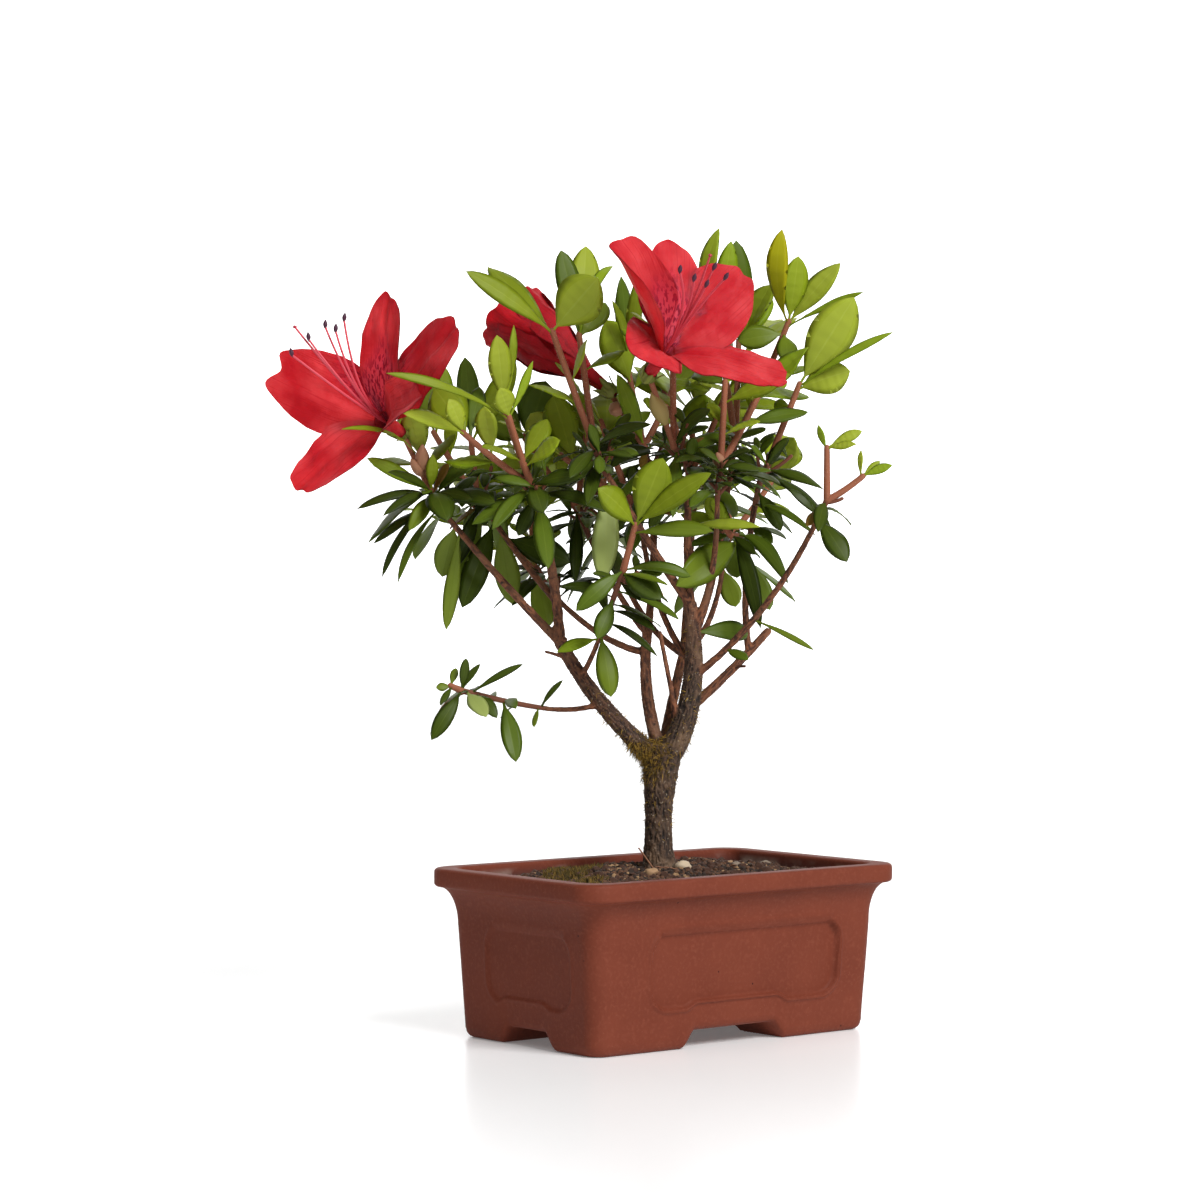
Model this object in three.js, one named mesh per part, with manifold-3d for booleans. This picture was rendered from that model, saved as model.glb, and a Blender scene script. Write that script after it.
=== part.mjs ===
// A flowering azalea bonsai, planted in a rectangular clay pot on four corner feet.
// Millimetres, +Z up. X runs along the pot's long side, and the origin is the bottom
// centre of the whole plant's box, on the surface that the pot stands on.

import * as THREE from 'three';
import { mergeVertices } from 'three/addons/utils/BufferGeometryUtils.js';
import Module from 'manifold-3d';

const wasm = await Module();
wasm.setup();

// Pot
const POT_LENGTH = 130;
const POT_WIDTH = 86;
const POT_HEIGHT = 54;
const RIM_OVERHANG = 8.3;
const RIM_BAND = 6;
const RIM_TOP_WIDTH = 6.5;
const RIM_EDGE = 1;
const CORNER_RADIUS = 5.5;
const CORNER_GROWTH = 0.45;
const CORNER_STEPS = 3;
const FOOT_ROUND = 2.5;
const FOOT_ROUND_MIDDLE = 0.75;
const BODY_FLARE = 2.1;
const COVE_START = 36;
const COVE_STEPS = 4;
const WALL = 5;
const FLOOR_TOP = 12;
const CAVITY_LEVELS = [COVE_START, 42, 48];
const DRAIN_RADIUS = 7;
const DRAIN_SIDES = 16;
const FEET_HEIGHT = 5.5;
const LONG_FOOT_GAP = 43;
const SHORT_FOOT_GAP = 28;
const FOOT_SHOULDER = { foot: -1, bend: 3, top: 5, bendHeight: 4.1 };
const PANEL_DEPTH = 0.9;
const PANEL_HEIGHT = 23.8;
const PANEL_BOTTOM = 13.2;
const LONG_PANEL = { margin: 18, shift: 3.5 };
const SHORT_PANEL = { margin: 13.9, shift: 3.1 };
const PANEL_CORNER = 7;
const PANEL_ROUND = 2;
const PANEL_CURVE_STEPS = 3;

// Soil
const SOIL_EDGE = 48.5;
const GROUND = 53;
const SOIL_STEPS = 5;
const SOIL_SIDE_POINTS = { long: 6, short: 3 };
const SOIL_LUMP = { height: 0.8, lengthX: 5.2, lengthY: 4.6, lift: 0.4 };
const TRUNK_PAD = 9;

// Clearances and facets
const GAP = 0.3;
const THICK_LIMB = 1.8;
const THICK_FACETS = { sides: 8, steps: 6 };
const SLIM_FACETS = { sides: 5, steps: 4 };
const STEM_FACETS = { sides: 4, steps: 3 };
const SHOOT_FACETS = { sides: 4, steps: 2 };
const STAMEN_FACETS = { sides: 3, steps: 2 };

// Tree: it stands near the pot's centre, turned by the angle between the pot's long
// side and the tree's own front. In its own frame x is right, y back, z up from the soil.
const TREE_TURN = THREE.MathUtils.degToRad(-39);
const TRUNK_FOOT = new THREE.Vector3(-1.2, 1, GROUND);
const TRUNK = { tip: [0.8, 0, 36], bow: [-0.9, 0, 0], buried: 3, waist: 4.1,
  flare: 2.6, flareFade: 7, crotch: 1.5, crotchStart: 0.45 };

// Each limb leaves its parent at a share of the parent's length, passes its middle
// displaced by the bow, and tapers between two radii to its tip.
const LIMBS = [
  { name: 'right_stem', parent: 'trunk', at: 0.93,
    tip: [9.6, -4, 85], bow: [4.7, 1, -4], radius: [3.7, 2.1] },
  { name: 'left_bough', parent: 'trunk', at: 0.94,
    tip: [-32, -10, 73], bow: [-2.4, 0, -1], radius: [3.1, 1.9] },
  { name: 'middle_stem', parent: 'trunk', at: 0.97,
    tip: [-3.7, 12, 77], bow: [-2.6, 1, 1], radius: [2.1, 1.5] },
  { name: 'rear_stem', parent: 'trunk', at: 0.97,
    tip: [8, 26, 68], bow: [-0.4, -1, 0], radius: [1.9, 1.4] },

  { name: 'left_outer_limb', parent: 'left_bough', at: 1,
    tip: [-67, -14, 112], bow: [1, -2, -2], radius: [1.4, 0.9] },
  { name: 'left_inner_limb', parent: 'left_bough', at: 1,
    tip: [-38, -20, 114], bow: [1, 0, -1], radius: [1.7, 1.2] },
  { name: 'left_middle_limb', parent: 'left_inner_limb', at: 0.34,
    tip: [-55, 6, 114], bow: [0, 1, -1], radius: [1.1, 0.8] },
  { name: 'front_twig', parent: 'left_bough', at: 0.74,
    tip: [-19, -21, 76], bow: [0, -1, -1], radius: [0.9, 0.7] },
  { name: 'low_left_twig', parent: 'left_bough', at: 0.52,
    tip: [-37, -12, 52], bow: [0, 0, -1], radius: [0.9, 0.7] },

  { name: 'centre_limb', parent: 'right_stem', at: 1,
    tip: [-17, -18, 126], bow: [2, -3, -4], radius: [1.4, 1] },
  { name: 'flower_limb', parent: 'right_stem', at: 1,
    tip: [9, -8, 125], bow: [-0.6, -1, -1], radius: [1.5, 1] },
  { name: 'right_inner_limb', parent: 'right_stem', at: 0.88,
    tip: [18, -13, 118], bow: [2, 0, -3], radius: [1.1, 0.8] },
  { name: 'inner_limb', parent: 'right_stem', at: 0.68,
    tip: [-6, 13, 110], bow: [-2, 1, -4], radius: [1.1, 0.8] },
  { name: 'right_back_limb', parent: 'right_stem', at: 0.83,
    tip: [22, 18, 119], bow: [1, 2.6, -3], radius: [1.2, 0.9] },
  { name: 'long_twig', parent: 'right_stem', at: 0.62,
    tip: [50, -26, 114], bow: [2.5, 0, -3.5], radius: [1.2, 0.8] },
  { name: 'right_low_bough', parent: 'right_stem', at: 0.42,
    tip: [35.5, 16, 76], bow: [0, 0.5, -1], radius: [1.6, 1.2] },
  { name: 'right_shoot', parent: 'right_low_bough', at: 0.76,
    tip: [32, 6, 123], bow: [-2.4, 2, -2], radius: [1.1, 0.9] },
  { name: 'right_side_twig', parent: 'right_shoot', at: 0.6,
    tip: [26, 6, 106], bow: [0, 0, -1], radius: [0.8, 0.7] },

  { name: 'middle_left_limb', parent: 'middle_stem', at: 0.8,
    tip: [-32, 27, 85], bow: [0.4, -1, -3], radius: [1.2, 0.8] },
  { name: 'middle_fork_limb', parent: 'middle_stem', at: 0.95,
    tip: [-21, 27, 103], bow: [0, 0, -2], radius: [1.1, 0.8] },
  { name: 'middle_top_limb', parent: 'middle_stem', at: 1,
    tip: [-2, 22, 122], bow: [1, 0, 0], radius: [1.3, 0.9] },
  { name: 'rear_left_limb', parent: 'rear_stem', at: 1,
    tip: [-15, 52, 103], bow: [-2, 3, -4], radius: [1.1, 0.8] },
  { name: 'rear_right_limb', parent: 'rear_stem', at: 1,
    tip: [22, 50, 98], bow: [2, 1, -4], radius: [1.1, 0.8] },
  { name: 'rear_top_limb', parent: 'rear_stem', at: 1,
    tip: [12, 40, 116], bow: [0, 2, 0], radius: [1.2, 0.9] },
];

// Flowers: lobes on a funnel. The face is the way that the flower looks. Each lobe has its turn
// round that line from the top, the angle that it opens to from it, and its length.
// The stamens end round the anthers' middle.
const LEFT_FLOWER = { base: [-81, -14, 139], face: [-0.47, -0.83, 0.29],
  lobes: [[-7, 74, 38], [78, 74, 39], [140, 74, 35], [272, 55, 31], [305, 74, 41]],
  stamens: 6, anthers: [-107, -36, 170] };
const BACK_FLOWER = { base: [-15, 8, 153], face: [-0.68, 0.5, 0.54],
  lobes: [[0, 30, 34], [72, 30, 34], [144, 30, 34], [216, 30, 34], [288, 30, 34]],
  stamens: 0 };
const CENTRE_FLOWER = { base: [-5, -25, 156], face: [0.47, -0.6, 0.65],
  lobes: [[-2, 70, 36], [48, 70, 36], [135, 70, 36], [222, 70, 39], [292, 70, 36]],
  stamens: 6, anthers: [12, -58, 186] };

// Each spray's stem runs on from its limb's tip to a joint with old leaves, from the share
// "from" of the stem on. Shoots lean out of the joint, and each ends in a whorl of young leaves.
const SPRAYS = [
  { name: 'left_flower_spray', limb: 'left_outer_limb', joint: [-73, -16, 121], lean: [-0.3, 0.3, 0.9],
    shoots: 1, reach: 13, spread: 0, turn: 0, old: 10, young: 4, from: 0.1,
    oldLeaf: 21, youngLeaf: 18, droop: 0.4, flower: LEFT_FLOWER },
  { name: 'left_shoulder_spray', limb: 'left_middle_limb', joint: [-59, 8, 119], lean: [-0.35, 0.2, 0.9],
    shoots: 2, reach: 24, spread: 24, turn: 60, old: 8, young: 5, from: 0,
    oldLeaf: 26, youngLeaf: 26, droop: 0.95 },
  { name: 'left_crown_spray', limb: 'left_inner_limb', joint: [-41, -24, 123], lean: [-0.5, -0.2, 0.86],
    shoots: 3, reach: 28, spread: 22, turn: 180, old: 9, young: 5, from: 0,
    oldLeaf: 22, youngLeaf: 27, droop: 0.35 },
  { name: 'low_left_spray', limb: 'low_left_twig', joint: [-63, -22, 58], lean: [-0.9, -0.1, 0.4],
    shoots: 1, reach: 4, spread: 0, turn: 0, old: 8, young: 5, from: 0.25,
    oldLeaf: 16, youngLeaf: 14, droop: 0.3 },
  { name: 'front_spray', limb: 'front_twig', joint: [-12, -33, 96], lean: [0.25, -0.2, 0.95],
    shoots: 1, reach: 15, spread: 0, turn: 0, old: 9, young: 5, from: 0.12,
    oldLeaf: 19, youngLeaf: 27, droop: 0.3 },
  { name: 'centre_crown_spray', limb: 'centre_limb', joint: [-21, -22, 135], lean: [-0.24, 0, 0.96],
    shoots: 2, reach: 35, spread: 8, turn: 40, old: 9, young: 6, from: 0,
    oldLeaf: 20, youngLeaf: 29, droop: 0.3 },
  { name: 'centre_flower_spray', limb: 'flower_limb', joint: [4, -16, 135], lean: [0, 0.35, 0.9],
    shoots: 1, reach: 32, spread: 0, turn: 0, old: 9, young: 5, from: 0,
    oldLeaf: 20, youngLeaf: 25, droop: 0.35, flower: CENTRE_FLOWER },
  { name: 'right_inner_spray', limb: 'right_inner_limb', joint: [19, -12, 129], lean: [0.25, 0.2, 0.9],
    shoots: 2, reach: 27, spread: 16, turn: 40, old: 9, young: 5, from: 0,
    oldLeaf: 21, youngLeaf: 25, droop: 0.4 },
  { name: 'middle_spray', limb: 'inner_limb', joint: [-9, 13, 118], lean: [-0.6, -0.1, 0.75],
    shoots: 2, reach: 26, spread: 18, turn: 10, old: 6, young: 4, from: 0,
    oldLeaf: 21, youngLeaf: 30, droop: 0.4 },
  { name: 'right_crown_spray', limb: 'right_back_limb', joint: [25, 20, 138], lean: [0.1, 0, 0.97],
    shoots: 3, reach: 39, spread: 19, turn: -20, old: 8, young: 6, from: 0.1,
    oldLeaf: 21, youngLeaf: 31, droop: 0.35 },
  { name: 'right_top_spray', limb: 'right_shoot', joint: [34, 4, 128], lean: [0.36, -0.12, 0.92],
    shoots: 1, reach: 27, spread: 0, turn: 0, old: 7, young: 7, from: 0,
    oldLeaf: 22, youngLeaf: 33, droop: 0.4 },
  { name: 'right_side_spray', limb: 'right_side_twig', joint: [23, 3, 107], lean: [-0.4, -0.3, 0.5],
    shoots: 1, reach: 5, spread: 0, turn: 0, old: 6, young: 3, from: 0,
    oldLeaf: 20, youngLeaf: 21, droop: 0.8 },
  { name: 'right_twig_spray', limb: 'long_twig', joint: [52, -27, 118], lean: [0.45, 0, 0.85],
    shoots: 2, reach: 15, spread: 28, turn: 0, old: 4, young: 5, from: 0.2,
    oldLeaf: 16, youngLeaf: 13, droop: 0.5 },
  { name: 'back_left_spray', limb: 'middle_left_limb', joint: [-41, 32, 97], lean: [-0.4, 0.25, 0.85],
    shoots: 2, reach: 24, spread: 22, turn: 30, old: 7, young: 5, from: 0,
    oldLeaf: 22, youngLeaf: 27, droop: 0.5 },
  { name: 'back_flower_spray', limb: 'middle_top_limb', joint: [-5, 19, 136], lean: [0.1, 0.35, 0.9],
    shoots: 2, reach: 28, spread: 20, turn: 30, old: 7, young: 5, from: 0,
    oldLeaf: 20, youngLeaf: 27, droop: 0.35, flower: BACK_FLOWER },
  { name: 'middle_fork_spray', limb: 'middle_fork_limb', joint: [-27, 34, 116], lean: [-0.25, 0.2, 0.9],
    shoots: 2, reach: 28, spread: 24, turn: 30, old: 7, young: 5, from: 0,
    oldLeaf: 21, youngLeaf: 28, droop: 0.4 },
  { name: 'rear_left_spray', limb: 'rear_left_limb', joint: [-19, 59, 113], lean: [-0.25, 0.3, 0.9],
    shoots: 3, reach: 25, spread: 30, turn: 60, old: 6, young: 5, from: 0,
    oldLeaf: 22, youngLeaf: 27, droop: 0.5 },
  { name: 'rear_right_spray', limb: 'rear_right_limb', joint: [25, 56, 108], lean: [0.1, 0.35, 0.9],
    shoots: 3, reach: 24, spread: 30, turn: 0, old: 6, young: 4, from: 0,
    oldLeaf: 22, youngLeaf: 27, droop: 0.5 },
  { name: 'rear_top_spray', limb: 'rear_top_limb', joint: [11, 44, 128], lean: [0.05, 0.1, 0.98],
    shoots: 3, reach: 28, spread: 24, turn: 90, old: 7, young: 5, from: 0,
    oldLeaf: 21, youngLeaf: 28, droop: 0.4 },
];

// Growth rule shared by all sprays
const SPRAY_SEED = 7919;
const RANDOM_STEP = { factor: 1664525, addend: 1013904223, range: 2 ** 32 };
const STEM_BEND = 0.4;
const GOLDEN_TURN = Math.PI * (3 - Math.sqrt(5));
const STEM_TIP_RADIUS = 1;
const SHOOT_RADIUS = [1.1, 0.9];
const OLD_PITCH = [60, 100];
const YOUNG_PITCH = [12, 60];
const LEAF_LENGTH_SPREAD = 0.22;
const OLD_LEAF_SLIMNESS = 0.42;
const YOUNG_LEAF_SLIMNESS = 0.44;
const YOUNG_DROOP = 0.12;
const LEAF_THICKNESS = 0.8;
const LEAF_STALK = { width: 0.7, thickness: 0.5 };
const OLD_LEAF_SHARES = [0, 0.5];
const YOUNG_LEAF_SHARES = [0, 0.32, 0.74];
const BLADE_SHARES = [0.25, 0.5, 0.75];
const LEAF_FULLNESS = 0.7;
const SHOOT_LENGTH_SPREAD = 0.12;
const SHOOT_RISE = 0.15;
const WHORL_DEPTH = 7;
const TURN_SPREAD = 0.8;
const ATTEMPTS = 3;
const ATTEMPT_TURN = 0.9;
const LOWEST_LEAF = 6;

// Flower proportions
const FUNNEL = { length: 20, foot: 1.8, mouth: 5.5, sides: 5 };
const PETAL_ROOT = { along: 12, out: 1 };
const PETAL_THICKNESS = 1;
const PETAL_SHARES = [0, 0.35, 0.7, 0.9];
const PETAL_HALF_WIDTHS = [1.2, 4.2, 12, 9.5];
const PETAL_CUP = 0.15;
const STAMEN_RADIUS = 0.45;
const STAMEN_SPREAD = 7;
const STAMEN_BEND = 1.3;
const FLOWER_STALK_RADIUS = [0.9, 0.9];
const FLOWER_STALK_DEPTH = 2;

// Lofts and solids

function vector([x, y, z]) {
  return new THREE.Vector3(x, y, z);
}

// Joins rings of points into a closed skin; a last ring of one point makes a pointed end.
function loft(rings) {
  const positions = rings.flat().flatMap((point) => [point.x, point.y, point.z]);
  const sides = rings[0].length;
  const pointed = rings.at(-1).length === 1;
  const lastFull = pointed ? rings.length - 2 : rings.length - 1;
  const index = [];
  for (let corner = 1; corner < sides - 1; corner += 1) {
    index.push(0, corner + 1, corner);
    if (!pointed) {
      const end = lastFull * sides;
      index.push(end, end + corner, end + corner + 1);
    }
  }
  for (let corner = 0; corner < sides; corner += 1) {
    const next = (corner + 1) % sides;
    for (let ring = 0; ring < lastFull; ring += 1) {
      const low = ring * sides;
      const high = low + sides;
      index.push(low + corner, low + next, high + next);
      index.push(low + corner, high + next, high + corner);
    }
    if (pointed) {
      index.push(lastFull * sides + corner, lastFull * sides + next, (lastFull + 1) * sides);
    }
  }
  return solidOf(positions, index);
}

// A closed solid from vertices and triangles, turned the right way out.
function solidOf(positions, index) {
  let volume = 0;
  const corner = (place) => new THREE.Vector3().fromArray(positions, index[place] * 3);
  for (let place = 0; place < index.length; place += 3) {
    volume += corner(place).dot(corner(place + 1).cross(corner(place + 2)));
  }
  const ordered = volume > 0 ? index : index.toReversed();
  return new wasm.Manifold(new wasm.Mesh({
    numProp: 3,
    vertProperties: new Float32Array(positions),
    triVerts: new Uint32Array(ordered),
  }));
}

function solidFromGeometry(geometry) {
  geometry.deleteAttribute('normal');
  geometry.deleteAttribute('uv');
  const merged = mergeVertices(geometry);
  return solidOf(Array.from(merged.attributes.position.array), Array.from(merged.index.array));
}

// The largest body of a solid: fills sealed hollows and drops loose scraps.
function mainBody(solid) {
  const bodies = solid.decompose();
  return bodies.reduce((largest, body) => (body.volume() > largest.volume() ? body : largest));
}

function boxOf(solid) {
  const { min, max } = solid.boundingBox();
  return new THREE.Box3(vector(min), vector(max));
}

function meshOf(name, solid, material) {
  const { vertProperties, triVerts } = solid.getMesh();
  const geometry = new THREE.BufferGeometry();
  geometry.setAttribute('position', new THREE.BufferAttribute(vertProperties, 3));
  geometry.setIndex(new THREE.BufferAttribute(triVerts, 1));
  geometry.computeVertexNormals();
  const mesh = new THREE.Mesh(geometry, material);
  mesh.name = name;
  return mesh;
}

// Pot: rounded rectangles lofted up a profile of outward offsets from the foot's outline

function roundedRing(offset, z, sidePoints = { long: 0, short: 0 }) {
  const halfLength = POT_LENGTH / 2 - RIM_OVERHANG + offset;
  const halfWidth = POT_WIDTH / 2 - RIM_OVERHANG + offset;
  const radius = CORNER_RADIUS + CORNER_GROWTH * offset;
  const points = [];
  for (let quarter = 0; quarter < 4; quarter += 1) {
    const signX = quarter === 0 || quarter === 3 ? 1 : -1;
    const signY = quarter < 2 ? 1 : -1;
    for (let step = 0; step <= CORNER_STEPS; step += 1) {
      const angle = (quarter + step / CORNER_STEPS) * Math.PI / 2;
      const x = signX * (halfLength - radius) + radius * Math.cos(angle);
      const y = signY * (halfWidth - radius) + radius * Math.sin(angle);
      points.push(new THREE.Vector3(x, y, z));
    }
    const end = points.at(-1);
    const count = quarter % 2 === 0 ? sidePoints.long : sidePoints.short;
    const far = quarter % 2 === 0
      ? new THREE.Vector3(-end.x, end.y, z)
      : new THREE.Vector3(end.x, -end.y, z);
    for (let step = 1; step <= count; step += 1) {
      points.push(end.clone().lerp(far, step / (count + 1)));
    }
  }
  return points;
}

function innerOffset(z) {
  const mouth = RIM_OVERHANG - RIM_TOP_WIDTH;
  const lower = BODY_FLARE * z / COVE_START - WALL;
  const upper = THREE.MathUtils.smoothstep(z, COVE_START, POT_HEIGHT);
  return THREE.MathUtils.lerp(lower, mouth, upper);
}

function outerProfile() {
  const profile = [[-FOOT_ROUND, 0], [-FOOT_ROUND_MIDDLE, FOOT_ROUND_MIDDLE], [0, FOOT_ROUND]];
  const coveTop = POT_HEIGHT - RIM_BAND;
  const coveWidth = RIM_OVERHANG - BODY_FLARE - RIM_EDGE;
  for (let step = 0; step <= COVE_STEPS; step += 1) {
    const angle = step / COVE_STEPS * Math.PI / 2;
    const offset = BODY_FLARE + coveWidth * (1 - Math.cos(angle));
    profile.push([offset, COVE_START + (coveTop - COVE_START) * Math.sin(angle)]);
  }
  profile.push([RIM_OVERHANG - RIM_EDGE / 4, coveTop + RIM_EDGE]);
  profile.push([RIM_OVERHANG, POT_HEIGHT - RIM_EDGE]);
  profile.push([RIM_OVERHANG - RIM_EDGE, POT_HEIGHT]);
  return profile;
}

// A prism across the pot between the feet, wider at the floor.
function footChannel(gap, across, turn) {
  const below = 1;
  const shape = new THREE.Shape();
  const half = gap / 2;
  shape.moveTo(FOOT_SHOULDER.foot - half, -below);
  shape.lineTo(half - FOOT_SHOULDER.foot, -below);
  shape.lineTo(half - FOOT_SHOULDER.bend, FOOT_SHOULDER.bendHeight);
  shape.lineTo(half - FOOT_SHOULDER.top, FEET_HEIGHT);
  shape.lineTo(FOOT_SHOULDER.top - half, FEET_HEIGHT);
  shape.lineTo(FOOT_SHOULDER.bend - half, FOOT_SHOULDER.bendHeight);
  const channel = new THREE.ExtrudeGeometry(shape, { depth: across, bevelEnabled: false });
  channel.translate(0, 0, -across / 2);
  channel.rotateX(Math.PI / 2);
  channel.rotateZ(turn);
  return solidFromGeometry(channel);
}

// A shallow panel with cut corners, tilted with the wall of one side and a little off its middle.
function sidePanel({ margin, shift }, sideLength, distance, turn) {
  const half = sideLength / 2 - margin;
  const cut = half - PANEL_CORNER;
  const top = PANEL_HEIGHT - PANEL_CORNER;
  const shape = new THREE.Shape();
  shape.moveTo(-cut, 0);
  shape.lineTo(cut, 0);
  shape.quadraticCurveTo(half - PANEL_ROUND, PANEL_ROUND, half, PANEL_CORNER);
  shape.lineTo(half, top);
  shape.quadraticCurveTo(half - PANEL_ROUND, PANEL_HEIGHT - PANEL_ROUND, cut, PANEL_HEIGHT);
  shape.lineTo(-cut, PANEL_HEIGHT);
  shape.quadraticCurveTo(PANEL_ROUND - half, PANEL_HEIGHT - PANEL_ROUND, -half, top);
  shape.lineTo(-half, PANEL_CORNER);
  shape.quadraticCurveTo(PANEL_ROUND - half, PANEL_ROUND, -cut, 0);
  const panel = new THREE.ExtrudeGeometry(shape, {
    depth: RIM_OVERHANG,
    bevelEnabled: false,
    curveSegments: PANEL_CURVE_STEPS,
  });
  const tilt = Math.atan2(BODY_FLARE, COVE_START);
  panel.rotateX(Math.PI / 2 + tilt);
  const wall = distance + PANEL_BOTTOM * Math.tan(tilt);
  panel.translate(shift, -wall + PANEL_DEPTH, PANEL_BOTTOM);
  panel.rotateZ(turn);
  return solidFromGeometry(panel);
}

function makePot() {
  const outside = loft(outerProfile().map(([offset, z]) => roundedRing(offset, z)));
  const above = 1;
  const levels = [FLOOR_TOP, ...CAVITY_LEVELS, POT_HEIGHT - RIM_EDGE];
  const cavity = levels.map((z) => roundedRing(innerOffset(z), z));
  cavity.push(roundedRing(innerOffset(POT_HEIGHT) + RIM_EDGE / 2, POT_HEIGHT));
  cavity.push(roundedRing(innerOffset(POT_HEIGHT) + RIM_EDGE / 2, POT_HEIGHT + above));
  const footLength = POT_LENGTH - 2 * RIM_OVERHANG;
  const footWidth = POT_WIDTH - 2 * RIM_OVERHANG;
  const drain = new THREE.CylinderGeometry(DRAIN_RADIUS, DRAIN_RADIUS, 2 * FLOOR_TOP, DRAIN_SIDES);
  drain.rotateX(Math.PI / 2);
  drain.translate(0, 0, FLOOR_TOP);
  let pot = outside.subtract(loft(cavity)).subtract(solidFromGeometry(drain));
  pot = pot.subtract(footChannel(LONG_FOOT_GAP, POT_WIDTH, 0));
  pot = pot.subtract(footChannel(SHORT_FOOT_GAP, POT_LENGTH, Math.PI / 2));
  for (const half of [0, Math.PI]) {
    pot = pot.subtract(sidePanel(LONG_PANEL, footLength, footWidth / 2, half));
    pot = pot.subtract(sidePanel(SHORT_PANEL, footWidth, footLength / 2, half + Math.PI / 2));
  }
  return mainBody(pot);
}

// Soil: fills the pot below the rim and rises in low lumps to a flat pad under the trunk.
function soilLump(x, y) {
  const { height, lengthX, lengthY, lift } = SOIL_LUMP;
  return lift + height * Math.sin(x / lengthX) * Math.cos(y / lengthY);
}

function makeSoil() {
  const levels = [FLOOR_TOP + GAP, ...CAVITY_LEVELS, SOIL_EDGE];
  const rings = levels.map((z) => roundedRing(innerOffset(z) - GAP, z, SOIL_SIDE_POINTS));
  const edge = rings.at(-1);
  const top = GROUND - GAP;
  for (let step = 1; step <= SOIL_STEPS; step += 1) {
    const share = step / SOIL_STEPS;
    const z = SOIL_EDGE + (top - SOIL_EDGE) * Math.sin(share * Math.PI / 2);
    const lumpy = step === SOIL_STEPS ? 0 : 1;
    rings.push(edge.map((point) => {
      const pad = new THREE.Vector3(point.x, point.y, 0).setLength(TRUNK_PAD).add(TRUNK_FOOT);
      const place = new THREE.Vector3(point.x, point.y, 0).lerp(pad, share);
      return place.setZ(z + lumpy * soilLump(place.x, place.y));
    }));
  }
  return mainBody(loft(rings));
}

// Trunk and limbs

// A curve whose middle is displaced by the bow.
function bowed(base, tip, bow) {
  const control = base.clone().add(tip).multiplyScalar(0.5).addScaledVector(bow, 2);
  return new THREE.QuadraticBezierCurve3(base, control, tip);
}

// A round limb along a curve, grown on every side and at both ends by the clearance.
function limbSolid(curve, radiusAt, { sides, steps }, clearance = 0) {
  const frames = curve.computeFrenetFrames(steps);
  const rings = [];
  for (let step = 0; step <= steps; step += 1) {
    const share = step / steps;
    const centre = curve.getPoint(share);
    const end = (step === steps) - (step === 0);
    const tangent = curve.getTangent(share);
    centre.addScaledVector(tangent, end * clearance);
    const radius = radiusAt(share) + clearance;
    const ring = [];
    for (let side = 0; side < sides; side += 1) {
      const angle = 2 * Math.PI * side / sides;
      const point = centre.clone();
      point.addScaledVector(frames.normals[step], radius * Math.cos(angle));
      point.addScaledVector(frames.binormals[step], radius * Math.sin(angle));
      ring.push(point);
    }
    rings.push(ring);
  }
  return loft(rings);
}

function taper([base, tip]) {
  return (share) => THREE.MathUtils.lerp(base, tip, share);
}

function trunkRadius(share) {
  const flare = TRUNK.flare * Math.exp(-TRUNK.flareFade * share);
  const crotch = TRUNK.crotch * THREE.MathUtils.smoothstep(share, TRUNK.crotchStart, 1);
  return TRUNK.waist + flare + crotch;
}

// Every finished piece with the room round it, for the tests that hold the pieces apart
const placed = [];

function keep(owner, solid) {
  placed.push({ owner, solid, box: boxOf(solid) });
}

function meets(solid, pieces) {
  const box = boxOf(solid);
  return pieces.some((piece) => {
    if (!piece.box.intersectsBox(box)) {
      return false;
    }
    const overlap = piece.solid.intersect(solid);
    const hit = !overlap.isEmpty();
    overlap.delete();
    return hit;
  });
}

function touches(owner, solid) {
  return meets(solid, placed.filter((piece) => piece.owner !== owner));
}

// Cuts a solid clear of every piece that stands already.
function cutClear(solid) {
  const box = boxOf(solid);
  let rest = solid;
  for (const piece of placed) {
    if (piece.box.intersectsBox(box)) {
      rest = rest.subtract(piece.solid);
    }
  }
  return mainBody(rest);
}

function growLimbs() {
  const foot = new THREE.Vector3(0, 0, -TRUNK.buried);
  const curves = { trunk: bowed(foot, vector(TRUNK.tip), vector(TRUNK.bow)) };
  const ground = new THREE.BoxGeometry(POT_WIDTH, POT_WIDTH, 2 * TRUNK.buried);
  ground.translate(0, 0, -TRUNK.buried);
  const whole = limbSolid(curves.trunk, trunkRadius, THICK_FACETS);
  const solids = { trunk: whole.subtract(solidFromGeometry(ground)) };
  keep('trunk', limbSolid(curves.trunk, trunkRadius, THICK_FACETS, GAP));
  for (const limb of LIMBS) {
    const base = curves[limb.parent].getPoint(limb.at);
    const curve = bowed(base, vector(limb.tip), vector(limb.bow));
    const radiusAt = taper(limb.radius);
    const facets = limb.radius[0] > THICK_LIMB ? THICK_FACETS : SLIM_FACETS;
    curves[limb.name] = curve;
    solids[limb.name] = cutClear(limbSolid(curve, radiusAt, facets));
    keep(limb.name, limbSolid(curve, radiusAt, facets, GAP));
  }
  return { curves, solids };
}

// Sprays

// Repeatable random numbers from 0 to 1.
function seededRandom(seed) {
  const { factor, addend, range } = RANDOM_STEP;
  let state = seed;
  return () => {
    state = (Math.imul(state, factor) + addend) >>> 0;
    return state / range;
  };
}

function between([low, high], share) {
  return THREE.MathUtils.lerp(low, high, share);
}

// A direction at a pitch from an axis, turned round it from the tree's right-hand side.
function tilted(axis, pitch, turn) {
  const back = new THREE.Vector3(0, 1, 0);
  const side = back.cross(axis).normalize();
  const depth = axis.clone().cross(side);
  const outward = side.multiplyScalar(Math.cos(turn)).addScaledVector(depth, Math.sin(turn));
  return axis.clone().multiplyScalar(Math.cos(pitch)).addScaledVector(outward, Math.sin(pitch));
}

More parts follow.
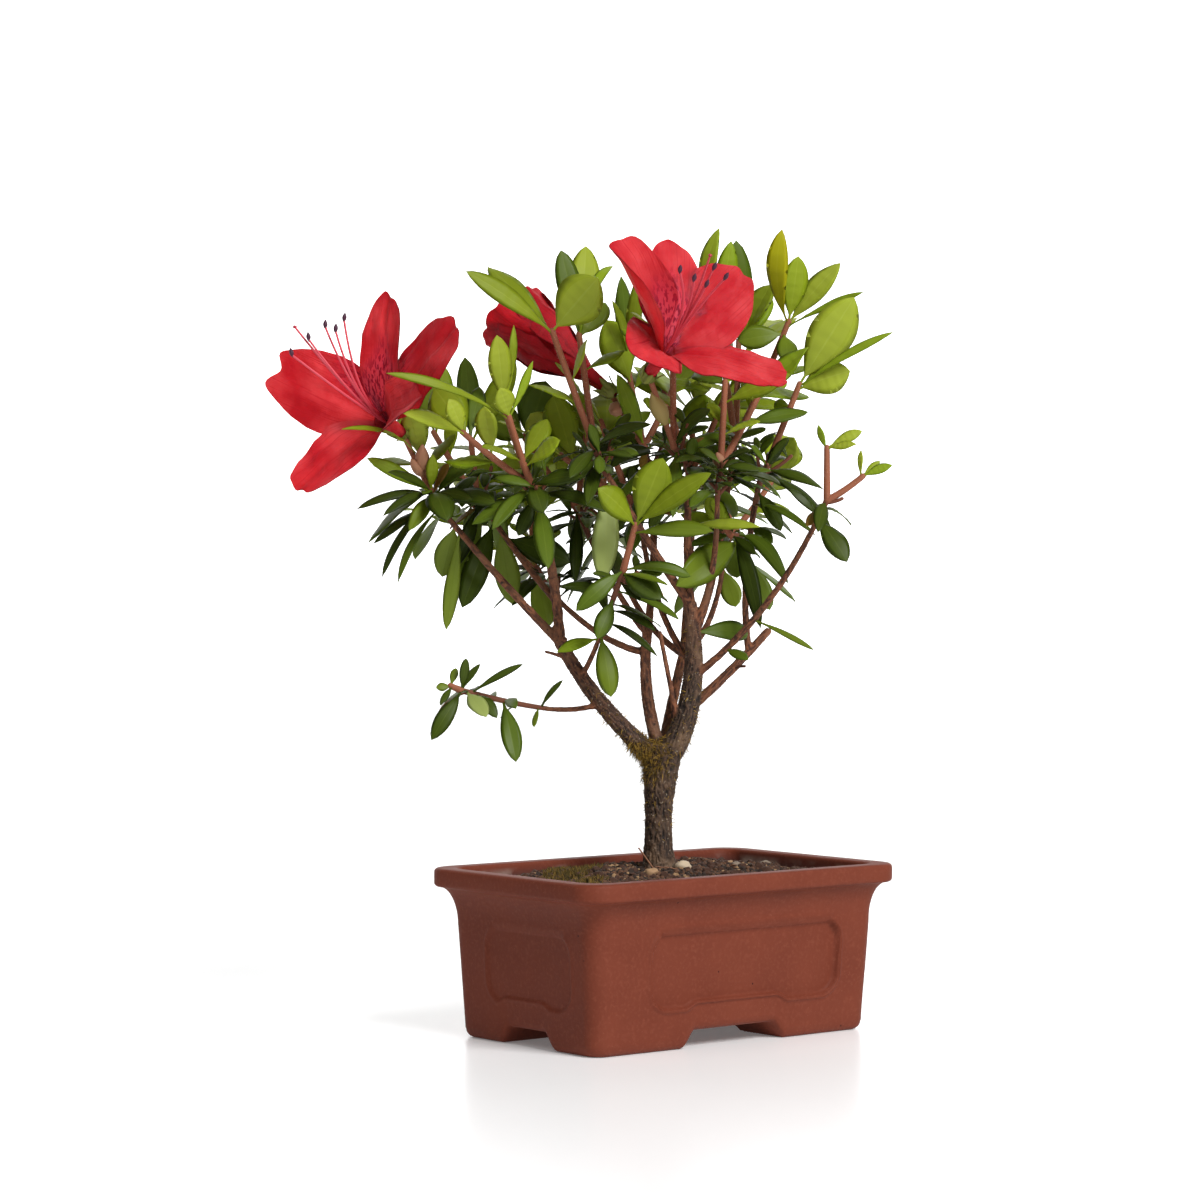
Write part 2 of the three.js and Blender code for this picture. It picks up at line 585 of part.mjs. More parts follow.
// A thin leaf: rings of left edge, right edge and keel along a drooping rib.
function leafSolid(leaf, clearance = 0, shares = leaf.shares) {
  const { root, axis, pitch, turn, length, slimness, droop } = leaf;
  const direction = tilted(axis, pitch, turn);
  const side = direction.clone().cross(axis).normalize();
  const upper = side.clone().cross(direction);
  const ribAt = (share) => root.clone().addScaledVector(direction, length * share)
    .add(new THREE.Vector3(0, 0, -droop * length * share * share));
  const rings = shares.map((share) => {
    const blade = length * slimness / 2 * Math.pow(Math.sin(Math.PI * share), LEAF_FULLNESS);
    const half = Math.max(blade, LEAF_STALK.width / 2) + clearance;
    const rib = ribAt(share);
    const thick = (share > 0 ? LEAF_THICKNESS : LEAF_STALK.thickness) / 2 + clearance;
    return [
      rib.clone().addScaledVector(side, -half).addScaledVector(upper, thick),
      rib.clone().addScaledVector(side, half).addScaledVector(upper, thick),
      rib.clone().addScaledVector(upper, -thick),
    ];
  });
  rings.push([ribAt(1 + clearance / length)]);
  return loft(rings);
}

// The funnel that carries the lobes, from the stalk to the flower's throat.
function funnelSolid(flower) {
  const base = vector(flower.base);
  const throat = base.clone().addScaledVector(vector(flower.face).normalize(), FUNNEL.length);
  const line = new THREE.LineCurve3(base, throat);
  return limbSolid(line, taper([FUNNEL.foot, FUNNEL.mouth]), { sides: FUNNEL.sides, steps: 1 });
}

// One lobe of the flower, from its root in the funnel to its tip.
function petalSolid(flower, lobe) {
  const base = vector(flower.base);
  const face = vector(flower.face).normalize();
  const [turn, open] = lobe.slice(0, 2).map((angle) => THREE.MathUtils.degToRad(angle));
  const length = lobe[2];
  const upward = new THREE.Vector3(0, 0, 1).addScaledVector(face, -face.z).normalize();
  const outward = upward.clone().applyAxisAngle(face, turn);
  const side = face.clone().cross(outward);
  const at = (along, out) => base.clone().addScaledVector(face, along).addScaledVector(outward, out);
  const middle = new THREE.QuadraticBezierCurve3(
    at(PETAL_ROOT.along, PETAL_ROOT.out),
    at(FUNNEL.length, FUNNEL.mouth / 2),
    at(FUNNEL.length + length * Math.cos(open), length * Math.sin(open)),
  );
  const rings = PETAL_SHARES.map((share, place) => {
    const centre = middle.getPoint(share);
    const inner = side.clone().cross(middle.getTangent(share));
    const half = PETAL_HALF_WIDTHS[place] * Math.sin(open);
    const across = (u, lift) => centre.clone().addScaledVector(side, u * half)
      .addScaledVector(inner, PETAL_CUP * half * u * u + lift);
    const thick = PETAL_THICKNESS / 2;
    return [across(-1, 0), across(0, thick), across(1, 0), across(0, -thick)];
  });
  rings.push([middle.getPoint(1)]);
  return loft(rings);
}

// A stamen runs out of the throat and curves to its place round the anthers' middle.
function stamenSolid(flower, place) {
  const face = vector(flower.face).normalize();
  const start = vector(flower.base).addScaledVector(face, FUNNEL.length / 2);
  const bend = vector(flower.base).addScaledVector(face, FUNNEL.length * STAMEN_BEND);
  const outward = tilted(face, Math.PI / 2, 2 * Math.PI * place / flower.stamens);
  const end = vector(flower.anthers).addScaledVector(outward, STAMEN_SPREAD);
  const curve = new THREE.QuadraticBezierCurve3(start, bend, end);
  return limbSolid(curve, () => STAMEN_RADIUS, STAMEN_FACETS);
}

function flowerSolids(flower) {
  const solids = [funnelSolid(flower)];
  for (const lobe of flower.lobes) {
    solids.push(petalSolid(flower, lobe));
  }
  for (let place = 0; place < flower.stamens; place += 1) {
    solids.push(stamenSolid(flower, place));
  }
  return solids;
}

// The stem, its shoots and its flower; they take their room before any leaf does.
function growTwigs(spray, limb, limbRadius, number) {
  const random = seededRandom(SPRAY_SEED * (number + 1));
  const start = limb.getPoint(1);
  const joint = vector(spray.joint);
  const bend = start.clone().addScaledVector(limb.getTangent(1), start.distanceTo(joint) * STEM_BEND);
  const stem = new THREE.QuadraticBezierCurve3(start, bend, joint);
  const stemRadius = taper([limbRadius, STEM_TIP_RADIUS]);
  const kept = [cutClear(limbSolid(stem, stemRadius, STEM_FACETS))];
  keep(spray.name, limbSolid(stem, stemRadius, STEM_FACETS, GAP));

  const addTwig = (curve, radius) => {
    const room = limbSolid(curve, taper(radius), SHOOT_FACETS, GAP);
    const free = !touches(spray.name, room);
    if (free) {
      kept.push(limbSolid(curve, taper(radius), SHOOT_FACETS));
      keep(spray.name, room);
    }
    return free;
  };

  const lean = vector(spray.lean).normalize();
  const spread = THREE.MathUtils.degToRad(spray.spread);
  const shoots = [];
  for (let place = 0; place < spray.shoots; place += 1) {
    const turn = THREE.MathUtils.degToRad(spray.turn) + 2 * Math.PI * place / spray.shoots;
    const direction = tilted(lean, spread, turn);
    const length = spray.reach * (1 + SHOOT_LENGTH_SPREAD * (2 * random() - 1));
    const tip = joint.clone().addScaledVector(direction, length);
    const middle = joint.clone().addScaledVector(direction, length / 2);
    middle.z -= SHOOT_RISE * length * Math.sin(spread);
    const shoot = new THREE.QuadraticBezierCurve3(joint, middle, tip);
    if (addTwig(shoot, SHOOT_RADIUS)) {
      shoots.push(shoot);
    }
  }
  if (spray.flower) {
    const face = vector(spray.flower.face).normalize();
    const base = vector(spray.flower.base).addScaledVector(face, FLOWER_STALK_DEPTH);
    addTwig(new THREE.QuadraticBezierCurve3(joint, joint.clone().lerp(base, 0.5), base), FLOWER_STALK_RADIUS);
    for (const solid of flowerSolids(spray.flower)) {
      kept.push(solid);
      keep(spray.name, solid);
    }
  }
  return { spray, random, stem, shoots, kept };
}

// One leaf of a whorl: its place on the twig, its turn, its pitch and its size come from the rule.
function whorlLeaf(growth, kind, twig, share, place, pitchRange) {
  const { spray, random } = growth;
  const axis = twig.getTangent(share);
  const turn = place * GOLDEN_TURN + TURN_SPREAD * (random() - 0.5);
  const pitch = THREE.MathUtils.degToRad(between(pitchRange, random()));
  const young = kind === 'young';
  const length = (young ? spray.youngLeaf : spray.oldLeaf) * (1 + LEAF_LENGTH_SPREAD * (2 * random() - 1));
  return {
    root: twig.getPoint(share),
    axis,
    pitch,
    turn,
    length,
    slimness: young ? YOUNG_LEAF_SLIMNESS : OLD_LEAF_SLIMNESS,
    droop: young ? YOUNG_DROOP : spray.droop,
    shares: young ? YOUNG_LEAF_SHARES : OLD_LEAF_SHARES,
  };
}

// Leaves take their places one by one; a leaf that finds no room in a few turns is skipped.
function growLeaves(growth) {
  const { spray, stem, shoots, kept } = growth;
  const leaves = [];
  for (let place = 0; place < spray.old; place += 1) {
    const share = between([spray.from, 1], (place + 1) / spray.old);
    leaves.push(whorlLeaf(growth, 'old', stem, share, place, OLD_PITCH));
  }
  for (const shoot of shoots) {
    for (let place = 0; place < spray.young; place += 1) {
      const down = WHORL_DEPTH * (1 - (place + 1) / spray.young) / shoot.getLength();
      leaves.push(whorlLeaf(growth, 'young', shoot, 1 - down, place, YOUNG_PITCH));
    }
  }
  const blades = [];
  for (const leaf of leaves) {
    for (let attempt = 0; attempt < ATTEMPTS; attempt += 1) {
      const room = leafSolid(leaf, GAP);
      const blade = leafSolid(leaf, 0, BLADE_SHARES);
      const low = boxOf(room).min.z < LOWEST_LEAF;
      if (!low && !touches(spray.name, room) && !meets(blade, blades)) {
        kept.push(leafSolid(leaf));
        keep(spray.name, room);
        blades.push({ solid: blade, box: boxOf(blade) });
        break;
      }
      leaf.turn += ATTEMPT_TURN;
    }
  }
}

function fuse(solids) {
  return mainBody(solids.reduce((whole, solid) => whole.add(solid)));
}

// The whole plant

const clay = new THREE.MeshStandardMaterial({ color: 0x95533f, roughness: 0.8, metalness: 0 });
const earth = new THREE.MeshStandardMaterial({ color: 0x2b1d14, roughness: 1, metalness: 0 });
const bark = new THREE.MeshStandardMaterial({ color: 0x5b4535, roughness: 0.9, metalness: 0 });
const leafGreen = new THREE.MeshStandardMaterial({ color: 0x5f8a2c, roughness: 0.5, metalness: 0 });

const plant = new THREE.Group();
plant.add(meshOf('pot', makePot(), clay));
plant.add(meshOf('soil', makeSoil(), earth));

const tree = new THREE.Group();
tree.position.copy(TRUNK_FOOT);
tree.rotation.z = TREE_TURN;
const limbs = growLimbs();
for (const [name, solid] of Object.entries(limbs.solids)) {
  tree.add(meshOf(name, solid, bark));
}
const growths = SPRAYS.map((spray, number) => {
  const limb = LIMBS.find((candidate) => candidate.name === spray.limb);
  return growTwigs(spray, limbs.curves[spray.limb], limb.radius[1], number);
});
for (const growth of growths) {
  growLeaves(growth);
  tree.add(meshOf(growth.spray.name, fuse(growth.kept), leafGreen));
}
plant.add(tree);

const box = new THREE.Box3().setFromObject(plant, true);
const centre = box.getCenter(new THREE.Vector3());
plant.position.set(-centre.x, -centre.y, -box.min.z);

export default plant;
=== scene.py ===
import math

import bpy
import numpy as np
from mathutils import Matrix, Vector, noise
from mathutils.bvhtree import BVHTree


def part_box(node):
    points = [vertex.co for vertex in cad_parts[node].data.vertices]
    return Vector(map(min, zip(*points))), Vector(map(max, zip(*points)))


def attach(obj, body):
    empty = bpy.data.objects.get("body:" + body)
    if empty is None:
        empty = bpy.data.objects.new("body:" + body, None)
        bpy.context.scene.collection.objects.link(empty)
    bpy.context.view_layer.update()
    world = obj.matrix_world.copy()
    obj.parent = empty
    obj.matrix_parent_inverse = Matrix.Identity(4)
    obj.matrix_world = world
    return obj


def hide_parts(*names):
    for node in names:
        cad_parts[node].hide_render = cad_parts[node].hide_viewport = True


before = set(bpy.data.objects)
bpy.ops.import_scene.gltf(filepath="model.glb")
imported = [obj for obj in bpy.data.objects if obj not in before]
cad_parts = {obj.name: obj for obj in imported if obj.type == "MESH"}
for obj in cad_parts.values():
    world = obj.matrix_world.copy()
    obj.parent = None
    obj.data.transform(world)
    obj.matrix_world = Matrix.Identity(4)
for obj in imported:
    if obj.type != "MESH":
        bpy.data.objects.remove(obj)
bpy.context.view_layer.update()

# Pot
# A moulded rectangular pot of unglazed red-brown clay, fired dull, with a wide rim over a coved
# neck and a shallow panel in each side. It stands loose on the four corner feet that two
# channels leave under its floor.
MM = 0.001
POT_LENGTH = 130
POT_WIDTH = 86
POT_HEIGHT = 54
RIM_OVERHANG = 8.3
RIM_BAND = 6
RIM_TOP_WIDTH = 6.5
RIM_ROUND = 1.2
CORNER_RADIUS = 5.5
CORNER_GROWTH = 0.45
CORNER_STEPS = 10
LONG_STEPS = 150
SHORT_STEPS = 94
FOOT_ROUND = 2.5
BODY_FLARE = 2.1
COVE_START = 36
WALL = 5
FLOOR_TOP = 12
DRAIN_RADIUS = 7
FEET_HEIGHT = 5.5
LONG_FOOT_GAP = 43
SHORT_FOOT_GAP = 28
FOOT_SHOULDER = 5.5
FOOT_SQUEEZE = 20
PANEL_HEIGHT = 23.8
PANEL_BOTTOM = 13.2
LONG_PANEL = {"margin": 18, "shift": 3.5, "depth": 1.5, "bead": 0.85}
SHORT_PANEL = {"margin": 13.9, "shift": 3.1, "depth": 0.6, "bead": 0.2}
PANEL_CORNER = 7
PANEL_EDGE = 0.5
PANEL_BEAD = {"out": 0.8, "width": 0.6}
HAND_WAVE = 0.25
HAND_WAVE_LENGTH = 22
FLOOR_STEPS = 22
FOOT_STEPS = 6
WALL_STEPS = 62
COVE_STEPS = 13
EDGE_STEPS = 5
INNER_STEPS = 14
RIM_SHARES = (0.35, 0.7)

pot_low, pot_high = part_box("pot")
POT_PLACE = np.array([(pot_low.x + pot_high.x) / 2, (pot_low.y + pot_high.y) / 2, pot_low.z]) / MM


def smoothstep(low, high, value):
    share = np.clip((np.asarray(value, float) - low) / (high - low), 0, 1)
    return share * share * (3 - 2 * share)


def rounded_ring(offset):
    """The pot's plan, grown by an offset from its foot, as points in even steps on each side."""
    half = np.array([POT_LENGTH, POT_WIDTH]) / 2 - RIM_OVERHANG + offset
    radius = CORNER_RADIUS + CORNER_GROWTH * offset
    arcs = []
    for quarter in range(4):
        sign = np.array([1 if quarter in (0, 3) else -1, 1 if quarter < 2 else -1])
        angles = (quarter + np.linspace(0, 1, CORNER_STEPS + 1)) * math.pi / 2
        arcs.append(sign * (half - radius) + radius * np.column_stack([np.cos(angles), np.sin(angles)]))
    ring = []
    for quarter in range(4):
        ring.append(arcs[quarter])
        steps = LONG_STEPS if quarter % 2 == 0 else SHORT_STEPS
        shares = np.linspace(0, 1, steps + 1)[1:-1, None]
        ring.append(arcs[quarter][-1] * (1 - shares) + arcs[(quarter + 1) % 4][0] * shares)
    return np.vstack(ring)


def inner_offset(z):
    """The offset of the pot's inner face at a height."""
    lower = BODY_FLARE * z / COVE_START - WALL
    upper = smoothstep(COVE_START, POT_HEIGHT, z)
    return lower + (RIM_OVERHANG - RIM_TOP_WIDTH - lower) * upper


def foot_lift(x, y):
    """How far the underside is above the feet: two channels that cross."""
    along = 1 - smoothstep(LONG_FOOT_GAP / 2 - FOOT_SHOULDER, LONG_FOOT_GAP / 2, abs(x))
    across = 1 - smoothstep(SHORT_FOOT_GAP / 2 - FOOT_SHOULDER, SHORT_FOOT_GAP / 2, abs(y))
    return FEET_HEIGHT * np.maximum(along, across)


def panel_depth(panel, along, z, side_length):
    """The sunk panel in its thin bead, a little off the side's middle, as a depth under the wall."""
    half = side_length / 2 - panel["margin"]
    sideways = abs(along - panel["shift"]) - half + PANEL_CORNER
    upright = abs(z - PANEL_BOTTOM - PANEL_HEIGHT / 2) - PANEL_HEIGHT / 2 + PANEL_CORNER
    round_off = np.hypot(np.maximum(sideways, 0), np.maximum(upright, 0))
    outside = round_off + np.minimum(np.maximum(sideways, upright), 0) - PANEL_CORNER
    sunk = panel["depth"] * (1 - smoothstep(-PANEL_EDGE, PANEL_EDGE, outside))
    return sunk - panel["bead"] * np.exp(-((outside - PANEL_BEAD["out"]) / PANEL_BEAD["width"]) ** 2)


def pot_profile():
    """Outward offsets and heights, from the foot's edge over the rim and down inside."""
    profile = []
    for turn in np.linspace(0, math.pi / 2, FOOT_STEPS):
        profile.append((FOOT_ROUND * (math.sin(turn) - 1), FOOT_ROUND * (1 - math.cos(turn))))
    for z in np.linspace(FOOT_ROUND, COVE_START, WALL_STEPS)[1:-1]:
        profile.append((BODY_FLARE * z / COVE_START, z))
    band_bottom = POT_HEIGHT - RIM_BAND
    cove = RIM_OVERHANG - BODY_FLARE - RIM_ROUND
    for turn in np.linspace(0, math.pi / 2, COVE_STEPS):
        offset = BODY_FLARE + cove * (1 - math.cos(turn))
        profile.append((offset, COVE_START + (band_bottom - COVE_START) * math.sin(turn)))
    for turn in np.linspace(0, math.pi / 2, EDGE_STEPS)[1:]:
        offset = RIM_OVERHANG - RIM_ROUND * (1 - math.sin(turn))
        profile.append((offset, band_bottom + RIM_ROUND * (1 - math.cos(turn))))
    profile.append((RIM_OVERHANG, POT_HEIGHT - RIM_BAND / 2))
    for turn in np.linspace(0, math.pi / 2, EDGE_STEPS):
        offset = RIM_OVERHANG - RIM_ROUND * (1 - math.cos(turn))
        profile.append((offset, POT_HEIGHT - RIM_ROUND * (1 - math.sin(turn))))
    mouth = inner_offset(POT_HEIGHT)
    for share in RIM_SHARES:
        profile.append((RIM_OVERHANG - RIM_ROUND - share * (RIM_TOP_WIDTH - 2 * RIM_ROUND), POT_HEIGHT))
    for turn in np.linspace(0, math.pi / 2, EDGE_STEPS):
        drop = RIM_ROUND * (1 - math.cos(turn))
        profile.append((mouth + RIM_ROUND * (1 - math.sin(turn)), POT_HEIGHT - drop))
    for z in np.linspace(POT_HEIGHT - RIM_ROUND, COVE_START, INNER_STEPS)[1:]:
        profile.append((inner_offset(z), z))
    return profile


def wall_row(offset, z):
    """One row round the pot, with the feet, the sunk panels and the unevenness of hand work."""
    plan = rounded_ring(offset)
    x, y = plan.T
    lift = foot_lift(x, y)
    height = np.full(len(x), float(z))
    if z < FOOT_SQUEEZE:
        height = lift + z * (FOOT_SQUEEZE - lift) / FOOT_SQUEEZE
    on_long = abs(y) / POT_WIDTH > abs(x) / POT_LENGTH
    inside = offset < BODY_FLARE * z / COVE_START - WALL / 2
    if not inside:
        long_depth = panel_depth(LONG_PANEL, -np.sign(y) * x, z, POT_LENGTH - 2 * RIM_OVERHANG)
        short_depth = panel_depth(SHORT_PANEL, np.sign(x) * y, z, POT_WIDTH - 2 * RIM_OVERHANG)
        y = y - np.where(on_long, np.sign(y) * long_depth, 0)
        x = x - np.where(on_long, 0, np.sign(x) * short_depth)
    wave = []
    for place_x, place_y in zip(x, y):
        spot = Vector((place_x / HAND_WAVE_LENGTH, place_y / HAND_WAVE_LENGTH, z / HAND_WAVE_LENGTH))
        wave.append(HAND_WAVE * noise.noise(spot))
    return np.column_stack([x + wave * np.sign(x), y + wave * np.sign(y), height])


def pot_rows():
    """The pot from the drain hole under the floor to the foot and over the rim, row by row."""
    foot = rounded_ring(-FOOT_ROUND)
    circle = DRAIN_RADIUS * foot / np.linalg.norm(foot, axis=1)[:, None]
    rows = [np.column_stack([circle, np.full(len(foot), FLOOR_TOP)])]
    for share in np.linspace(0, 1, FLOOR_STEPS)[:-1]:
        plan = circle + (foot - circle) * share
        rows.append(np.column_stack([plan, foot_lift(*plan.T)]))
    rows += [wall_row(offset, z) for offset, z in pot_profile()]
    return np.array(rows)


def grid_quads(rows, columns, closed):
    """Faces of a grid of points; a closed one joins its last column to its first."""
    index = np.arange(rows * columns).reshape(rows, columns)
    after = np.roll(index, -1, axis=1)
    if not closed:
        index, after = index[:, :-1], after[:, :-1]
    return np.stack([index[:-1], after[:-1], after[1:], index[1:]], axis=-1).reshape(-1, 4)


def piece_from(name, points, quads, materials, looks=None):
    """A smooth mesh object in metres from points in millimetres."""
    mesh = bpy.data.meshes.new(name)
    mesh.vertices.add(len(points))
    mesh.vertices.foreach_set("co", (np.asarray(points) * MM).astype(np.float32).ravel())
    mesh.loops.add(quads.size)
    mesh.loops.foreach_set("vertex_index", quads.astype(np.int32).ravel())
    mesh.polygons.add(len(quads))
    mesh.polygons.foreach_set("loop_start", np.arange(0, quads.size, 4, dtype=np.int32))
    mesh.polygons.foreach_set("use_smooth", np.ones(len(quads), bool))
    for material in materials:
        mesh.materials.append(material)
    if looks is not None:
        mesh.polygons.foreach_set("material_index", np.asarray(looks, np.int32))
    mesh.update(calc_edges=True)
    mesh.validate()
    piece = bpy.data.objects.new(name, mesh)
    bpy.context.scene.collection.objects.link(piece)
    return piece


def add_node(tree, kind, inputs=None, **settings):
    """A shader or geometry node; an input is a plain value or another node's output."""
    made = tree.nodes.new(kind)
    for name, value in settings.items():
        setattr(made, name, value)
    for name, value in (inputs or {}).items():
        if isinstance(value, bpy.types.NodeSocket):
            tree.links.new(value, made.inputs[name])
        else:
            made.inputs[name].default_value = value
    return made


def linear(red, green, blue):
    """A colour as the eye names it, from 0 to 255, as the light values that shaders take."""
    values = np.array([red, green, blue]) / 255
    lit = np.where(values <= 0.04045, values / 12.92, ((values + 0.055) / 1.055) ** 2.4)
    return (*lit.tolist(), 1.0)


def new_material(name):
    """A material with its node tree and main shader."""
    material = bpy.data.materials.new(name)
    material.use_nodes = True
    return material, material.node_tree, material.node_tree.nodes["Principled BSDF"]


def mix_colours(tree, share, low, high):
    """The output that goes from one colour to another by a share."""
    mixer = add_node(tree, "ShaderNodeMix", data_type="RGBA")
    for socket, value in zip((mixer.inputs[0], mixer.inputs[6], mixer.inputs[7]), (share, low, high)):
        if isinstance(value, bpy.types.NodeSocket):
            tree.links.new(value, socket)
        else:
            socket.default_value = value
    return mixer.outputs[2]


def ramp(tree, value, low, high):
    """A value taken from 0 at low to 1 at high."""
    return add_node(tree, "ShaderNodeMapRange", {0: value, 1: low, 2: high}).outputs[0]


CLAY_DARK = linear(106, 49, 33)
CLAY_MID = linear(113, 54, 37)
CLAY_PALE = linear(118, 59, 42)
CLAY_SPECK = linear(132, 76, 59)
CLAY_PIT = linear(52, 24, 18)
# Painted shade: this darker clay colour goes on the inner wall under the rim, where shade falls
CLAY_INNER_SHADE = linear(82, 47, 40)
CRUST = linear(164, 142, 130)

clay, tree, shader = new_material("unglazed_clay")
place = add_node(tree, "ShaderNodeTexCoord").outputs["Object"]
cloud = add_node(tree, "ShaderNodeTexNoise", {"Vector": place, "Scale": 55, "Detail": 4}).outputs[0]
grain = add_node(tree, "ShaderNodeTexNoise", {"Vector": place, "Scale": 900, "Detail": 3}).outputs[0]
speck = add_node(tree, "ShaderNodeTexVoronoi", {"Vector": place, "Scale": 480}).outputs["Distance"]
pit = add_node(tree, "ShaderNodeTexVoronoi", {"Vector": place, "Scale": 130}).outputs["Distance"]
crust_and_shade = add_node(tree, "ShaderNodeAttribute", attribute_name="crust_and_shade").outputs["Fac"]
colour = mix_colours(tree, ramp(tree, cloud, 0.35, 0.7), CLAY_DARK, CLAY_MID)
colour = mix_colours(tree, ramp(tree, grain, 0.5, 0.75), colour, CLAY_PALE)
colour = mix_colours(tree, ramp(tree, speck, 0.07, 0.04), colour, CLAY_SPECK)
colour = mix_colours(tree, ramp(tree, pit, 0.05, 0.03), colour, CLAY_PIT)
# The inner wall under the rim is painted darker as shade, and patches of whitish crust lie over it
colour = mix_colours(tree, crust_and_shade, colour, CLAY_INNER_SHADE)
patch = add_node(tree, "ShaderNodeMath", {0: crust_and_shade, 1: ramp(tree, cloud, 0.5, 0.66)}, operation="MULTIPLY")
colour = mix_colours(tree, patch.outputs[0], colour, CRUST)
tree.links.new(colour, shader.inputs["Base Color"])
rough = add_node(tree, "ShaderNodeMapRange", {0: cloud, 3: 0.5, 4: 0.72}).outputs[0]
tree.links.new(rough, shader.inputs["Roughness"])
shader.inputs["Specular IOR Level"].default_value = 0.15
bump = add_node(tree, "ShaderNodeBump", {"Strength": 0.18, "Distance": 0.0004, "Height": grain})
tree.links.new(bump.outputs[0], shader.inputs["Normal"])

rows = pot_rows()
quads = grid_quads(rows.shape[0], rows.shape[1], True)
pot = piece_from("clay_pot", rows.reshape(-1, 3) + POT_PLACE, quads, [clay])
heights = rows[:, :, 2]
# The inner wall's rows under the rim carry one mask, used both for the painted shade there and for the
# crust patches
CRUST_AND_SHADE_ROWS = 15
CRUST_AND_SHADE_DEPTHS = (1, 4)
first_inside = len(rows) - CRUST_AND_SHADE_ROWS
crust_and_shade_values = np.zeros(heights.shape)
crust_and_shade_top, crust_and_shade_full = [POT_HEIGHT - depth for depth in CRUST_AND_SHADE_DEPTHS]
crust_and_shade_values[first_inside:] = smoothstep(crust_and_shade_top, crust_and_shade_full, heights[first_inside:])
pot.data.attributes.new("crust_and_shade", "FLOAT", "POINT").data.foreach_set("value", crust_and_shade_values.ravel())
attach(pot, "root")
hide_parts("pot")

# Soil
# A granular bonsai mix fills the pot to just under its rim and heaps up a little at the trunk.
# Loose grains, a few pale pebbles and dry straws lie on it, with low moss left of the trunk.
EARTH_DARK = linear(30, 20, 15)
EARTH_PALE = linear(78, 54, 38)
EARTH_MOSSY = linear(52, 43, 18)
SOIL_EDGE = 48.5
SOIL_CROWN = 52.7
SOIL_ROWS = 46
SOIL_PAD = 0.16
SOIL_LUMP = {"height": 0.8, "length_x": 5.2, "length_y": 4.6, "lift": 0.4}
LUMP_FADE = (0.1, 0.85)
SOIL_CRUMB = {"height": 0.5, "length": 2.4, "layer": 8}
SOIL_GAP = 0.3
SOIL_SKIRT = 4
SOIL_STRIDE = 3
TRUNK_OFFSET = np.array([-1.2, 1.0])
MOSS_PLACES = [(-26, 15, 11), (-36, 6, 9), (-18, 22, 8), (-40, -12, 6)]
MOSS_CORE = 0.6
MOSS_WANDER = {"reach": 3, "length": 4, "layer": 20}
SOIL_MOSS = {"colours": [(76, 63, 18), (114, 89, 32)], "height": 1.9, "radius": 0.32, "density": 2.2e6,
             "tilt": 1.4, "seed": 60}
GRAINS = [
    ("dark_grain", (46, 32, 24), 2600, 0.9),
    ("brown_grain", (92, 62, 42), 1500, 1.0),
    ("tan_grain", (150, 118, 84), 620, 0.9),
    ("bark_chip", (66, 40, 26), 420, 1.7),
]
GRAIN_SEED = 40
PEBBLES = [(2, -7, 2.5), (38, 12, 1.6), (52, 10, 2.0), (58, 15, 1.6), (-17, -14, 1.8), (20, -12, 1.3)]
PEBBLE_SHAPE = {"stretch": (1.25, 0.9, 0.75), "swell": 0.35, "lumps": 1.3, "proud": 0.45, "seed": 5,
                "rings": 10, "columns": 14, "pole": 0.02}
STRAWS = [((-10.4, 0.7), (-6.5, -2.4), 7), ((-12, -9), (-4, -13), 1), ((14, -15), (24, -11), 1)]
STRAW = {"radius": 0.2, "clear": 0.4, "steps": 8, "sides": 5}


def soil_height(x, y):
    """The soil's surface over the pot's plan."""
    reach = max(abs(x) / (POT_LENGTH / 2 - RIM_OVERHANG), abs(y) / (POT_WIDTH / 2 - RIM_OVERHANG))
    share = np.clip((1 - reach) / (1 - SOIL_PAD), 0, 1)
    heap = SOIL_EDGE + (SOIL_CROWN - SOIL_EDGE) * math.sin(share * math.pi / 2)
    waves = math.sin(x / SOIL_LUMP["length_x"]) * math.cos(y / SOIL_LUMP["length_y"])
    lump = SOIL_LUMP["lift"] + SOIL_LUMP["height"] * waves
    spot = Vector((x / SOIL_CRUMB["length"], y / SOIL_CRUMB["length"], SOIL_CRUMB["layer"]))
    lump += SOIL_CRUMB["height"] * noise.noise(spot)
    return heap + lump * smoothstep(0, LUMP_FADE[0], share) * smoothstep(1, LUMP_FADE[1], share)


def moss_share(x, y):
    """How thickly the moss covers a place, with a ragged edge to each cushion."""
    length = MOSS_WANDER["length"]
    wander = MOSS_WANDER["reach"] * noise.noise(Vector((x / length, y / length, MOSS_WANDER["layer"])))
    shares = []
    for middle_x, middle_y, radius in MOSS_PLACES:
        gap = math.hypot(x - middle_x, y - middle_y) + wander
        shares.append(1 - smoothstep(radius * MOSS_CORE, radius, gap))
    return max(shares)


edge = rounded_ring(inner_offset(SOIL_EDGE) - SOIL_GAP)
rows = []
for share in np.linspace(0, 1, SOIL_ROWS):
    plan = TRUNK_OFFSET + (edge - TRUNK_OFFSET) * share
    rows.append([(x, y, soil_height(x, y)) for x, y in plan[::SOIL_STRIDE]])
rows.append([(x, y, SOIL_EDGE - SOIL_SKIRT) for x, y in edge[::SOIL_STRIDE]])
rows = np.array(rows)

